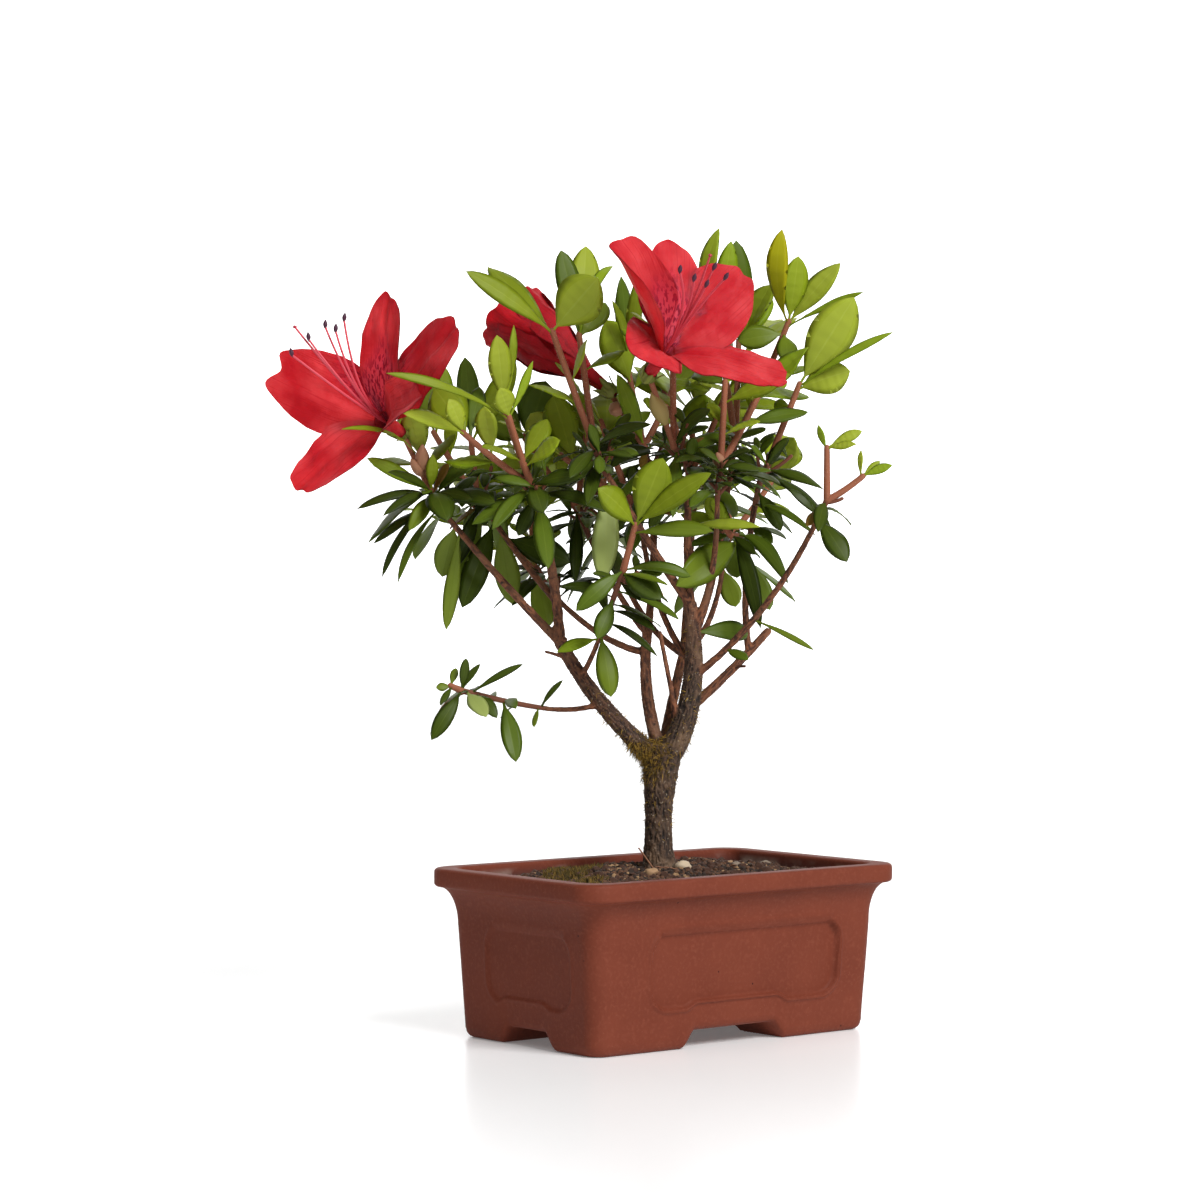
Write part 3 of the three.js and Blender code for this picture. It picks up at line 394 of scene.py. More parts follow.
earth, tree, shader = new_material("damp_earth")
place = add_node(tree, "ShaderNodeTexCoord").outputs["Object"]
clod = add_node(tree, "ShaderNodeTexNoise", {"Vector": place, "Scale": 260, "Detail": 5}).outputs[0]
mossy = add_node(tree, "ShaderNodeAttribute", attribute_name="moss").outputs["Fac"]
colour = mix_colours(tree, ramp(tree, clod, 0.35, 0.7), EARTH_DARK, EARTH_PALE)
colour = mix_colours(tree, mossy, colour, EARTH_MOSSY)
tree.links.new(colour, shader.inputs["Base Color"])
shader.inputs["Roughness"].default_value = 0.95
bump = add_node(tree, "ShaderNodeBump", {"Strength": 0.6, "Distance": 0.001, "Height": clod})
tree.links.new(bump.outputs[0], shader.inputs["Normal"])

quads = grid_quads(rows.shape[0], rows.shape[1], True)
soil = piece_from("soil_bed", rows.reshape(-1, 3) + POT_PLACE, quads, [earth])
mosses = [moss_share(x, y) for x, y, _ in rows.reshape(-1, 3)]
soil.data.attributes.new("moss", "FLOAT", "POINT").data.foreach_set("value", mosses)
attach(soil, "root")
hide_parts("soil")


def plain_material(name, colour, roughness):
    """One even colour, for small things that differ from one to the next."""
    material, _, shader = new_material(name)
    shader.inputs["Base Color"].default_value = linear(*colour)
    shader.inputs["Roughness"].default_value = roughness
    return material


def scattered(name, ground, material, density, shape, seed, share=None, turn=math.tau, size=(0.5, 1.3)):
    """Small copies of a node-made shape strewn over a mesh, as one plain mesh."""
    tree = bpy.data.node_groups.new(name, "GeometryNodeTree")
    tree.interface.new_socket("Geometry", in_out="INPUT", socket_type="NodeSocketGeometry")
    tree.interface.new_socket("Geometry", in_out="OUTPUT", socket_type="NodeSocketGeometry")
    start = add_node(tree, "NodeGroupInput")
    points = add_node(tree, "GeometryNodeDistributePointsOnFaces", {"Mesh": start.outputs[0], "Seed": seed})
    if share is None:
        points.inputs["Density"].default_value = density
    else:
        named = add_node(tree, "GeometryNodeInputNamedAttribute", {"Name": share}, data_type="FLOAT")
        scaled = add_node(tree, "ShaderNodeMath", {0: named.outputs[0], 1: density}, operation="MULTIPLY")
        tree.links.new(scaled.outputs[0], points.inputs["Density"])
    spin = add_node(tree, "FunctionNodeRandomValue", {"Seed": seed + 1}, data_type="FLOAT_VECTOR")
    spin.inputs[0].default_value = (-turn / 2, -turn / 2, -math.pi)
    spin.inputs[1].default_value = (turn / 2, turn / 2, math.pi)
    grow = add_node(tree, "FunctionNodeRandomValue", {"Seed": seed + 2}, data_type="FLOAT_VECTOR")
    grow.inputs[0].default_value = (size[0],) * 3
    grow.inputs[1].default_value = (size[1],) * 3
    copies = add_node(tree, "GeometryNodeInstanceOnPoints", {
        "Points": points.outputs[0],
        "Instance": shape(tree),
        "Rotation": spin.outputs[0],
        "Scale": grow.outputs[0],
    })
    real = add_node(tree, "GeometryNodeRealizeInstances", {"Geometry": copies.outputs[0]})
    dressed = add_node(tree, "GeometryNodeSetMaterial", {"Geometry": real.outputs[0], "Material": material})
    end = add_node(tree, "NodeGroupOutput")
    tree.links.new(dressed.outputs[0], end.inputs[0])
    modifier = ground.modifiers.new(name, "NODES")
    modifier.node_group = tree
    seen = ground.evaluated_get(bpy.context.evaluated_depsgraph_get())
    mesh = bpy.data.meshes.new_from_object(seen)
    ground.modifiers.remove(modifier)
    piece = bpy.data.objects.new(name, mesh)
    bpy.context.scene.collection.objects.link(piece)
    return piece


def grain_shape(radius):
    """A faceted crumb."""
    def made(tree):
        return add_node(tree, "GeometryNodeMeshIcoSphere", {"Radius": radius, "Subdivisions": 1}).outputs[0]
    return made


def blade_shape(height, radius):
    """A thin upright spike that stands on its foot."""
    def made(tree):
        cone = add_node(tree, "GeometryNodeMeshCone", {
            "Vertices": 3, "Radius Top": 0.0, "Radius Bottom": radius, "Depth": height})
        return cone.outputs[0]
    return made


for number, (name, colour, count, radius) in enumerate(GRAINS):
    area = (POT_LENGTH - 2 * WALL) * (POT_WIDTH - 2 * WALL) * MM * MM
    look = plain_material(name, colour, 0.9)
    strewn = scattered(name, soil, look, count / area, grain_shape(radius * MM), GRAIN_SEED + number)
    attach(strewn, "root")

for number, colour in enumerate(SOIL_MOSS["colours"]):
    look = plain_material(f"soil_moss_{number}", colour, 0.9)
    shape = blade_shape(SOIL_MOSS["height"] * MM, SOIL_MOSS["radius"] * MM)
    strewn = scattered(f"soil_moss_{number}", soil, look, SOIL_MOSS["density"], shape,
                       SOIL_MOSS["seed"] + number, "moss", SOIL_MOSS["tilt"])
    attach(strewn, "root")


def lump_points(radius, seed):
    """A closed rounded stone as rings of points."""
    grid = []
    pole = PEBBLE_SHAPE["pole"]
    for turn in np.linspace(pole, math.pi - pole, PEBBLE_SHAPE["rings"]):
        out, up = math.sin(turn), math.cos(turn)
        ring = []
        for angle in np.linspace(0, math.tau, PEBBLE_SHAPE["columns"], endpoint=False):
            way = Vector((out * math.cos(angle), out * math.sin(angle), up))
            lump = noise.noise(way * PEBBLE_SHAPE["lumps"] + Vector((seed, 0, 0)))
            ring.append(way * radius * (1 + PEBBLE_SHAPE["swell"] * lump))
        grid.append(ring)
    return np.array(grid) * np.array(PEBBLE_SHAPE["stretch"])


class Pile:
    """Grids of points that end up as one mesh, each with its material."""

    def __init__(self):
        self.points = []
        self.quads = []
        self.looks = []
        self.marks = {}
        self.count = 0

    def add(self, grid, look=0, closed=False, marks=None):
        rows, columns = grid.shape[:2]
        faces = grid_quads(rows, columns, closed)
        self.quads.append(faces + self.count)
        self.looks.append(np.broadcast_to(look, (len(faces),)))
        self.points.append(grid.reshape(-1, 3))
        self.count += rows * columns
        for name, values in (marks or {}).items():
            self.marks.setdefault(name, []).append(values.ravel())

    def piece(self, name, materials):
        quads = np.vstack(self.quads)
        made = piece_from(name, np.vstack(self.points), quads, materials, np.concatenate(self.looks))
        for mark, values in self.marks.items():
            attribute = made.data.attributes.new(mark, "FLOAT", "POINT")
            attribute.data.foreach_set("value", np.concatenate(values))
        return made


stones = [
    plain_material("pale_pebble", (188, 168, 142), 0.7),
    plain_material("tan_pebble", (160, 126, 92), 0.75),
    plain_material("grey_pebble", (128, 112, 96), 0.75),
]
pile = Pile()
for number, (x, y, radius) in enumerate(PEBBLES):
    middle = np.array([x, y, soil_height(x, y) + radius * PEBBLE_SHAPE["proud"]])
    stone = lump_points(radius, PEBBLE_SHAPE["seed"] * number) + middle
    pile.add(stone + POT_PLACE, number % len(stones), True)
pebbles = pile.piece("pebbles", stones)
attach(pebbles, "root")

pile = Pile()
for (x0, y0), (x1, y1), rise in STRAWS:
    line = []
    for share in np.linspace(0, 1, STRAW["steps"]):
        x, y = x0 + (x1 - x0) * share, y0 + (y1 - y0) * share
        line.append((x, y, soil_height(x, y) + STRAW["clear"] + rise * (1 - share)))
    angles = np.linspace(0, math.tau, STRAW["sides"], endpoint=False)
    ring = STRAW["radius"] * np.column_stack([np.cos(angles), np.sin(angles), np.cos(angles + 1)])
    pile.add(np.array(line)[:, None, :] + ring + POT_PLACE, 0, True)
straws = pile.piece("dry_straws", [plain_material("dry_straw", (142, 98, 72), 0.8)])
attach(straws, "root")

# Trunk and boughs
# One short trunk forks into four stems, which fork again into slim limbs. The bark is grey-brown,
# ridged and flaking on the old wood, and smoother and redder on the slim limbs. The foot stands
# in the soil, and pruned stubs are left here and there.
TREE_TURN = math.radians(-39)
GROUND = 53
TRUNK_FOOT = POT_PLACE + np.array([*TRUNK_OFFSET, GROUND])
TRUNK = {"tip": (0.8, 0, 36), "bow": (-0.9, 0, 0), "buried": 3, "waist": 4.1,
         "flare": 2.6, "flare_fade": 7, "crotch": 1.5, "crotch_start": 0.45}
LIMBS = [
    # name, parent, share of the parent's length, tip, bow, radii
    ("right_stem", "trunk", 0.93, (9.6, -4, 85), (4.7, 1, -4), (3.7, 2.1)),
    ("left_bough", "trunk", 0.94, (-32, -10, 73), (-2.4, 0, -1), (3.1, 1.9)),
    ("middle_stem", "trunk", 0.97, (-3.7, 12, 77), (-2.6, 1, 1), (2.1, 1.5)),
    ("rear_stem", "trunk", 0.97, (8, 26, 68), (-0.4, -1, 0), (1.9, 1.4)),
    ("left_outer_limb", "left_bough", 1, (-67, -14, 112), (1, -2, -2), (1.4, 0.9)),
    ("left_inner_limb", "left_bough", 1, (-38, -20, 114), (1, 0, -1), (1.7, 1.2)),
    ("left_middle_limb", "left_inner_limb", 0.34, (-55, 6, 114), (0, 1, -1), (1.1, 0.8)),
    ("front_twig", "left_bough", 0.74, (-19, -21, 76), (0, -1, -1), (0.9, 0.7)),
    ("low_left_twig", "left_bough", 0.52, (-37, -12, 52), (0, 0, -1), (0.9, 0.7)),
    ("centre_limb", "right_stem", 1, (-17, -18, 126), (2, -3, -4), (1.4, 1)),
    ("flower_limb", "right_stem", 1, (9, -8, 125), (-0.6, -1, -1), (1.5, 1)),
    ("right_inner_limb", "right_stem", 0.88, (18, -13, 118), (2, 0, -3), (1.1, 0.8)),
    ("inner_limb", "right_stem", 0.68, (-6, 13, 110), (-2, 1, -4), (1.1, 0.8)),
    ("right_back_limb", "right_stem", 0.83, (22, 18, 119), (1, 2.6, -3), (1.2, 0.9)),
    ("long_twig", "right_stem", 0.62, (50, -26, 114), (2.5, 0, -3.5), (1.2, 0.8)),
    ("right_low_bough", "right_stem", 0.42, (35.5, 16, 76), (0, 0.5, -1), (1.6, 1.2)),
    ("right_shoot", "right_low_bough", 0.76, (32, 6, 123), (-2.4, 2, -2), (1.1, 0.9)),
    ("right_side_twig", "right_shoot", 0.6, (26, 6, 106), (0, 0, -1), (0.8, 0.7)),
    ("middle_left_limb", "middle_stem", 0.8, (-32, 27, 85), (0.4, -1, -3), (1.2, 0.8)),
    ("middle_fork_limb", "middle_stem", 0.95, (-21, 27, 103), (0, 0, -2), (1.1, 0.8)),
    ("middle_top_limb", "middle_stem", 1, (-2, 22, 122), (1, 0, 0), (1.3, 0.9)),
    ("rear_left_limb", "rear_stem", 1, (-15, 52, 103), (-2, 3, -4), (1.1, 0.8)),
    ("rear_right_limb", "rear_stem", 1, (22, 50, 98), (2, 1, -4), (1.1, 0.8)),
    ("rear_top_limb", "rear_stem", 1, (12, 40, 116), (0, 2, 0), (1.2, 0.9)),
]
STUBS = [
    # parent, share of its length, way, length, radius
    ("left_bough", 0.86, (-0.95, -0.3, 0.35), 9, 0.7),
    ("left_bough", 0.95, (0.2, -0.6, 0.9), 4, 0.7),
    ("middle_stem", 0.9, (-0.35, -0.5, 0.9), 9, 0.75),
    ("right_low_bough", 0.55, (0.8, -0.5, 0.2), 5, 0.7),
    ("right_stem", 0.5, (-0.8, -0.6, 0.3), 3, 0.8),
    ("right_stem", 0.25, (-6.5, -6, 33), 34, 0.95),
    ("trunk", 0.75, (0.9, -0.3, 0.5), 6, 0.8),
    ("rear_stem", 0.6, (0.3, 0.8, 0.5), 6, 0.7),
]
BARK_CRACK = linear(30, 19, 13)
BARK_RIDGE = linear(86, 63, 46)
BARK_BLOTCH = linear(108, 84, 63)
BARK_FLECK = linear(150, 135, 116)
BARK_FLAKE = linear(46, 29, 19)
SLIM_CRACK = linear(72, 39, 24)
SLIM_RIDGE = linear(136, 83, 53)
SLIM_BLOTCH = linear(112, 72, 48)
BARK_VOXEL = 0.39
BARK_SIDES = 14
BARK_STEPS = 26
CAP_RINGS = [(0.6, 0.75), (0.9, 0.02)]
LENGTH_STEPS = 33
BARK_COVER = {"right_stem": 0.7}
SLIM_COVER = 0.1
THICK_LIMB = 1.8
STUB_TAPER = 0.8
STUB_BOW = (0, 0, 0.3)
GIRTH_BLUR = 12
RIDGES = {"along": 0.28, "across": 1.35, "sharpness": 2.4, "share": 0.7}
FLAKES = {"along": 1.1, "across": 3.4, "share": 0.5}
LIMB_SHIFT = 7.1
RIDGE_FOOT = 0.35
LIFT_BY_GIRTH = {0.6: 0.06, 1.2: 0.16, 2.2: 0.4, 4.5: 0.75}


def vector(values):
    return np.array(values, float)


def unit(values):
    values = np.asarray(values, float)
    return values / np.linalg.norm(values)


class Bend:
    """A curve from a start past a bend to an end."""

    def __init__(self, start, bend, end):
        self.start, self.bend, self.end = vector(start), vector(bend), vector(end)

    def at(self, share):
        share = np.asarray(share, float)[..., None]
        return (1 - share) ** 2 * self.start + 2 * share * (1 - share) * self.bend + share ** 2 * self.end

    def along(self, share):
        share = np.asarray(share, float)[..., None]
        way = (1 - share) * (self.bend - self.start) + share * (self.end - self.bend)
        return way / np.linalg.norm(way, axis=-1, keepdims=True)

    def length(self):
        line = self.at(np.linspace(0, 1, LENGTH_STEPS))
        return np.linalg.norm(np.diff(line, axis=0), axis=1).sum()


def bowed(start, tip, bow):
    return Bend(start, (vector(start) + vector(tip)) / 2 + 2 * vector(bow), tip)


def tube(curve, radii, sides, clearance=0):
    """Rings of points round a curve, grown on every side and at both ends by the clearance."""
    shares = np.linspace(0, 1, len(radii))
    centres = curve.at(shares)
    ways = curve.along(shares)
    centres[0] -= ways[0] * clearance
    centres[-1] += ways[-1] * clearance
    normal = np.eye(3)[np.argmin(abs(ways[0]))]
    angles = np.linspace(0, math.tau, sides, endpoint=False)
    rings = []
    for centre, way, radius in zip(centres, ways, radii):
        normal = unit(normal - way * normal.dot(way))
        across = np.cross(way, normal)
        spokes = np.outer(np.cos(angles), normal) + np.outer(np.sin(angles), across)
        rings.append(centre + (radius + clearance) * spokes)
    return np.array(rings)


def capped(grid):
    """A tube with rounded closed ends."""
    ends = []
    for ring, inner in ((grid[0], grid[1]), (grid[-1], grid[-2])):
        middle = ring.mean(axis=0)
        out = unit(middle - inner.mean(axis=0)) * np.linalg.norm(ring[0] - middle)
        for rise, width in CAP_RINGS:
            ends.append(middle + out * rise + (ring - middle) * width)
    return np.concatenate([ends[1::-1], grid, ends[2:]])


def to_row(points):
    """Points of the tree's own frame in the shared frame: turned on the pot, on the soil."""
    points = np.asarray(points)
    cos, sin = math.cos(TREE_TURN), math.sin(TREE_TURN)
    x, y, z = points[..., 0], points[..., 1], points[..., 2]
    return np.stack([x * cos - y * sin, x * sin + y * cos, z], axis=-1) + TRUNK_FOOT


def trunk_radius(share):
    flare = TRUNK["flare"] * np.exp(-TRUNK["flare_fade"] * share)
    return TRUNK["waist"] + flare + TRUNK["crotch"] * smoothstep(TRUNK["crotch_start"], 1, share)


curves = {"trunk": bowed((0, 0, -TRUNK["buried"]), TRUNK["tip"], TRUNK["bow"])}
limb_radii = {"trunk": trunk_radius(np.linspace(0, 1, BARK_STEPS))}
for name, parent, share, tip, bow, (thick, slim) in LIMBS:
    curves[name] = bowed(curves[parent].at(share), tip, bow)
    limb_radii[name] = np.linspace(thick, slim, BARK_STEPS)
wood_curves = dict(curves)
bark_radii = {"trunk": limb_radii["trunk"]}
for name, *_ in LIMBS:
    cover = np.linspace(BARK_COVER.get(name, SLIM_COVER), SLIM_COVER, BARK_STEPS)
    bark_radii[name] = limb_radii[name] + cover
for number, (parent, share, way, length, radius) in enumerate(STUBS):
    start = curves[parent].at(share)
    wood_curves[f"stub_{number}"] = bowed(start, start + unit(way) * length, STUB_BOW)
    bark_radii[f"stub_{number}"] = np.linspace(radius, radius * STUB_TAPER, BARK_STEPS)

pile = Pile()
for name, curve in wood_curves.items():
    sides = 2 * BARK_SIDES if bark_radii[name][0] > THICK_LIMB else BARK_SIDES
    pile.add(to_row(capped(tube(curve, bark_radii[name], sides))), 0, True)
rough_wood = pile.piece("rough_wood", [])
remesh = rough_wood.modifiers.new("voxels", "REMESH")
remesh.mode = "VOXEL"
remesh.voxel_size = BARK_VOXEL * MM
evened = rough_wood.modifiers.new("even", "SMOOTH")
evened.factor = 0.5
evened.iterations = 5
seen = rough_wood.evaluated_get(bpy.context.evaluated_depsgraph_get())
wood_mesh = bpy.data.meshes.new_from_object(seen)
bpy.data.objects.remove(rough_wood)

count = len(wood_mesh.vertices)
places = np.zeros(count * 3)
wood_mesh.vertices.foreach_get("co", places)
places = places.reshape(-1, 3)
normals = np.zeros(count * 3)
wood_mesh.vertices.foreach_get("normal", normals)
normals = normals.reshape(-1, 3)

# Every point of the wood belongs to the limb whose bark it lies on
SAMPLES = 60
NEAR = 8 * MM
outside = np.full(count, np.inf)
girth = np.zeros(count)
limb = np.zeros(count)
run = np.zeros(count)
spoke = np.zeros((count, 3))
way = np.zeros((count, 3))
for number, (name, curve) in enumerate(wood_curves.items()):
    shares = np.linspace(0, 1, SAMPLES)
    line = to_row(curve.at(shares)) * MM
    radii = np.interp(shares, np.linspace(0, 1, BARK_STEPS), bark_radii[name])
    inside = (places > line.min(axis=0) - NEAR) & (places < line.max(axis=0) + NEAR)
    close = np.flatnonzero(inside.all(axis=1))
    gaps = np.linalg.norm(places[close, None] - line, axis=2)
    found = gaps.argmin(axis=1)
    excess = gaps.min(axis=1) / MM - radii[found]
    own = excess < outside[close]
    mine, found = close[own], found[own]
    outside[mine] = excess[own]
    girth[mine] = radii[found]
    limb[mine] = number
    run[mine] = shares[found] * curve.length()
    spoke[mine] = (places[mine] - line[found]) / MM
    way[mine] = to_row(curve.along(shares[found])) - TRUNK_FOOT

along = way * (run * RIDGES["along"] - (spoke * way).sum(axis=1))[:, None]
ridge = np.zeros(count)
for number in range(count):
    shift = Vector((limb[number] * LIMB_SHIFT, 0, 0))
    spot = Vector(spoke[number] * RIDGES["across"] + along[number])
    crack = 1 - abs(noise.noise(spot + shift)) * RIDGES["sharpness"]
    spot = Vector(spoke[number] * FLAKES["across"] + way[number] * run[number] * FLAKES["along"])
    ridge[number] = crack * RIDGES["share"] + FLAKES["share"] * noise.noise(spot + shift)

# The girth runs over smoothly from limb to limb
edges = np.zeros(2 * len(wood_mesh.edges), np.int32)
wood_mesh.edges.foreach_get("vertices", edges)
ends = np.concatenate([edges, edges.reshape(-1, 2)[:, ::-1].ravel()]).reshape(-1, 2)
touching = np.bincount(ends[:, 0], minlength=count)
for _ in range(GIRTH_BLUR):
    girth = np.bincount(ends[:, 0], girth[ends[:, 1]], count) / np.maximum(touching, 1)
lift = np.interp(girth, list(LIFT_BY_GIRTH), list(LIFT_BY_GIRTH.values()))
places += normals * ((ridge - RIDGE_FOOT) * lift * MM)[:, None]
wood_mesh.vertices.foreach_set("co", places.ravel())
wood_mesh.polygons.foreach_set("use_smooth", np.ones(len(wood_mesh.polygons), bool))
wood_mesh.attributes.new("girth", "FLOAT", "POINT").data.foreach_set("value", girth)
wood_mesh.attributes.new("ridge", "FLOAT", "POINT").data.foreach_set("value", ridge)
wood_mesh.update()

bark, tree, shader = new_material("azalea_bark")
place = add_node(tree, "ShaderNodeTexCoord").outputs["Object"]
girth_value = add_node(tree, "ShaderNodeAttribute", attribute_name="girth").outputs["Fac"]
ridge_value = add_node(tree, "ShaderNodeAttribute", attribute_name="ridge").outputs["Fac"]
flake = add_node(tree, "ShaderNodeTexNoise", {"Vector": place, "Scale": 700, "Detail": 5}).outputs[0]
blotch = add_node(tree, "ShaderNodeTexNoise", {"Vector": place, "Scale": 120, "Detail": 3}).outputs[0]
fleck = add_node(tree, "ShaderNodeTexNoise", {"Vector": place, "Scale": 1300, "Detail": 2}).outputs[0]
old_wood = mix_colours(tree, ramp(tree, ridge_value, 0.0, 0.75), BARK_CRACK, BARK_RIDGE)
old_wood = mix_colours(tree, ramp(tree, blotch, 0.52, 0.72), old_wood, BARK_BLOTCH)
old_wood = mix_colours(tree, ramp(tree, fleck, 0.64, 0.72), old_wood, BARK_FLECK)
slim_wood = mix_colours(tree, ramp(tree, ridge_value, 0.0, 0.7), SLIM_CRACK, SLIM_RIDGE)
slim_wood = mix_colours(tree, ramp(tree, blotch, 0.5, 0.7), slim_wood, SLIM_BLOTCH)
colour = mix_colours(tree, ramp(tree, girth_value, 1.4, 3.0), slim_wood, old_wood)
dark = mix_colours(tree, ramp(tree, flake, 0.58, 0.72), colour, BARK_FLAKE)
tree.links.new(dark, shader.inputs["Base Color"])
shader.inputs["Roughness"].default_value = 0.85
bump = add_node(tree, "ShaderNodeBump", {"Strength": 0.8, "Distance": 0.0006, "Height": flake})
tree.links.new(bump.outputs[0], shader.inputs["Normal"])
wood_mesh.materials.append(bark)
wood = bpy.data.objects.new("trunk_and_boughs", wood_mesh)
bpy.context.scene.collection.objects.link(wood)
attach(wood, "root")
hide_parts(*curves)

# Moss on the fork
# Golden-green threads of moss cling to the bark where the trunk forks, and a few hang on lower down.
MOSS_COLOURS = [(128, 98, 24), (162, 126, 46), (84, 68, 18)]
MOSS_THREADS = 3600
MOSS_CROWDING = {"most": 1.2, "fade": 8, "least": 0.03, "height": (6, 20), "girth": 2.4}
THREAD = {"length": (0.8, 2.6), "half": (0.06, 0.13), "out": (0.35, 1.1), "scatter": 0.55,
          "rise": (-0.5, 0.7), "droop": 0.35, "sunk": 0.2, "widths": {0: 1, 0.5: 0.9, 1: 0.25}}
MOSS_CENTRE = to_row((-4.5, -3, 36)) * MM
dice = np.random.default_rng(11)
near = np.linalg.norm(places - MOSS_CENTRE, axis=1) / MM
above = places[:, 2] / MM - TRUNK_FOOT[2]
clear = smoothstep(*MOSS_CROWDING["height"], above) * (girth > MOSS_CROWDING["girth"])
chance = np.clip(MOSS_CROWDING["most"] - near / MOSS_CROWDING["fade"], MOSS_CROWDING["least"], 1) * clear
picked = dice.choice(count, MOSS_THREADS, p=chance / chance.sum())
pile = Pile()
for number in picked:
    root = places[number] / MM
    out = normals[number]
    rise = np.array([0, 0, dice.uniform(*THREAD["rise"])])
    way = unit(out * dice.uniform(*THREAD["out"]) + dice.normal(0, THREAD["scatter"], 3) + rise)
    length = dice.uniform(*THREAD["length"])
    side = unit(np.cross(way, dice.normal(0, 1, 3))) * dice.uniform(*THREAD["half"])
    droop = np.array([0, 0, -THREAD["droop"] * length])
    root = root - out * THREAD["sunk"]
    strip = []
    for share, width in THREAD["widths"].items():
        point = root + way * length * share + droop * share ** 2
        strip.append([point - side * width, point + side * width])
    pile.add(np.array(strip), dice.integers(len(MOSS_COLOURS)))
looks = [plain_material(f"fork_moss_{number}", colour, 0.9) for number, colour in enumerate(MOSS_COLOURS)]
moss = pile.piece("fork_moss", looks)
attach(moss, "root")

# Flowers
# Three flowers, each a red funnel with five lobes on a short hairy stalk. Two are wide open, with
# freckles on their upper lobes, dark anthers on thin filaments and one longer style. The back one is
# seen from outside and half open, and its petals are painted a darker crimson as shade.
FUNNEL = {"length": 20, "foot": 1.8, "mouth": 3.6, "end": 0.72, "rings": 9, "columns": 31, "flare": 1.4,
          "ribs": 5, "rib_depth": 0.06, "run": 0.3}
LOBE_ROOT = (9, 1.2)
LOBE_ROWS = 34
LOBE_COLUMNS = 25
LOBE_THICKNESS = 0.3
LOBE_CLAW = 0.2
LOBE_WIDENING = (0.1, 0.62)
LOBE_OPENING = (0.1, 0.5)
LEAST_THROAT = 2
FLAT_BEND = 1e-4
CURL_START = 0.5
TIP_ROUNDING = 0.99
NOTCH_WIDTH = 0.25
TIP_WAVES = [(0.01, 6, 5), (0.005, 13, 1)]
FRILL = {"height": 1.6, "waves": 10, "phase": 1.3}
SWELL = {"height": 0.7, "waves": 8, "slant": 3}
CRINKLE = {"height": 1.0, "across": 3.4, "along": 9, "layer": 4.1, "start": (0.3, 0.7)}
CREASE = {"depth": 0.6, "width": 0.12, "start": (0.15, 0.5)}
FRECKLES = {"reach": 0.9, "narrowing": 0.25, "side_reach": 0.76, "side": (-0.35, 0.5), "fade": 0.22,
            "start": (0.05, 0.2)}
FLOWER_SEED = 7
FLOWERS = [
    # A lobe: turn, opening, length, half width, curl of the tip, cup, notch, freckles, freckled side.
    # The anthers and the stigma lie right of and above the anthers' middle. The lobes bend out of the
    # throat at a height and a radius. Those of the half open flower wrap round its axis and end bluntly.
    {"name": "left", "spray": "left_flower_spray", "base": (-81, -14, 139), "face": (-0.47, -0.83, 0.29),
     "anthers": (-107, -36, 170), "fan": [(-8, -7), (-3, -2), (2, 2), (5.5, 0.5), (8, 4)],
     "stigma": (-7.5, 2), "painted_shade": False, "bend": (19, 1.8), "wrap": 0, "round": 1.1,
     "lobes": [(-9, 74, 38, 7.6, 0.0, 0.5, 0.0, 1.0, 0), (69, 74, 40, 12.6, 0.03, 0.15, 2.2, 0.8, -1),
               (145, 74, 34, 9, 0.05, 0.3, 0.0, 0.0, 0), (272, 55, 31, 9.5, 0.1, 0.9, 0.0, 0.0, 0),
               (308, 74, 44, 9.6, 0.02, -0.1, 1.6, 0.9, 1)]},
    {"name": "back", "spray": "back_flower_spray", "base": (-15, 8, 153), "face": (-0.68, 0.5, 0.54),
     "anthers": None, "fan": [], "stigma": None, "painted_shade": True, "bend": (24, 7.5), "wrap": 0.74,
     "round": 0.4,
     "lobes": [(turn, 23, 31, 11, -0.04, 0.9, 0.5, 0.0, 0) for turn in (0, 72, 144, 216, 288)]},
    {"name": "centre", "spray": "centre_flower_spray", "base": (-5, -25, 156), "face": (0.47, -0.6, 0.65),
     "anthers": (12, -58, 186), "fan": [(-7, 1.2), (-2.7, -1.2), (3.4, 2.4), (6.7, -0.9), (1, -3)],
     "stigma": (2.4, 6.5), "painted_shade": False, "bend": (19, 1.8), "wrap": 0, "round": 1.1,
     "lobes": [(-14, 70, 34, 12.5, 0.0, 0.2, 0.4, 1.0, 0), (49, 63, 37, 13.5, -0.04, 1.4, 0.2, 0.9, -1),
               (104, 95, 20, 14, 0.0, 0.1, 0.0, 0.0, 0), (222, 70, 38, 10.5, 0.06, -0.2, 0.0, 0.0, 0),
               (300, 70, 37, 13.5, 0.0, 0.15, 0.9, 0.8, 1)]},
]


def petal_ways(flower, turn):
    """The flower's face, the lobe's outward way and its sideways way."""
    face = unit(flower["face"])
    upward = unit(np.array([0, 0, 1]) - face * face[2])
    outward = upward * math.cos(turn) + np.cross(face, upward) * math.sin(turn)
    return face, outward, np.cross(face, outward)


def lobe_run(flower, lobe, seed):
    """Shares of a lobe's length over its grid, ending in a broad, wavy, rounded tip."""
    _, _, length, half, _, _, notch, _, _ = lobe
    across = np.linspace(-1, 1, LOBE_COLUMNS)
    ends = 1 - flower["round"] * half / length * (1 - np.sqrt(1 - TIP_ROUNDING * across ** 2))
    ends -= notch / length * np.exp(-(across / NOTCH_WIDTH) ** 2)
    ends += sum(depth * np.sin(across * waves + seed * shift) for depth, waves, shift in TIP_WAVES)
    rows = np.linspace(0, 1, LOBE_ROWS)[:, None]
    return rows * (1 - (1 - ends) * rows ** 2), across


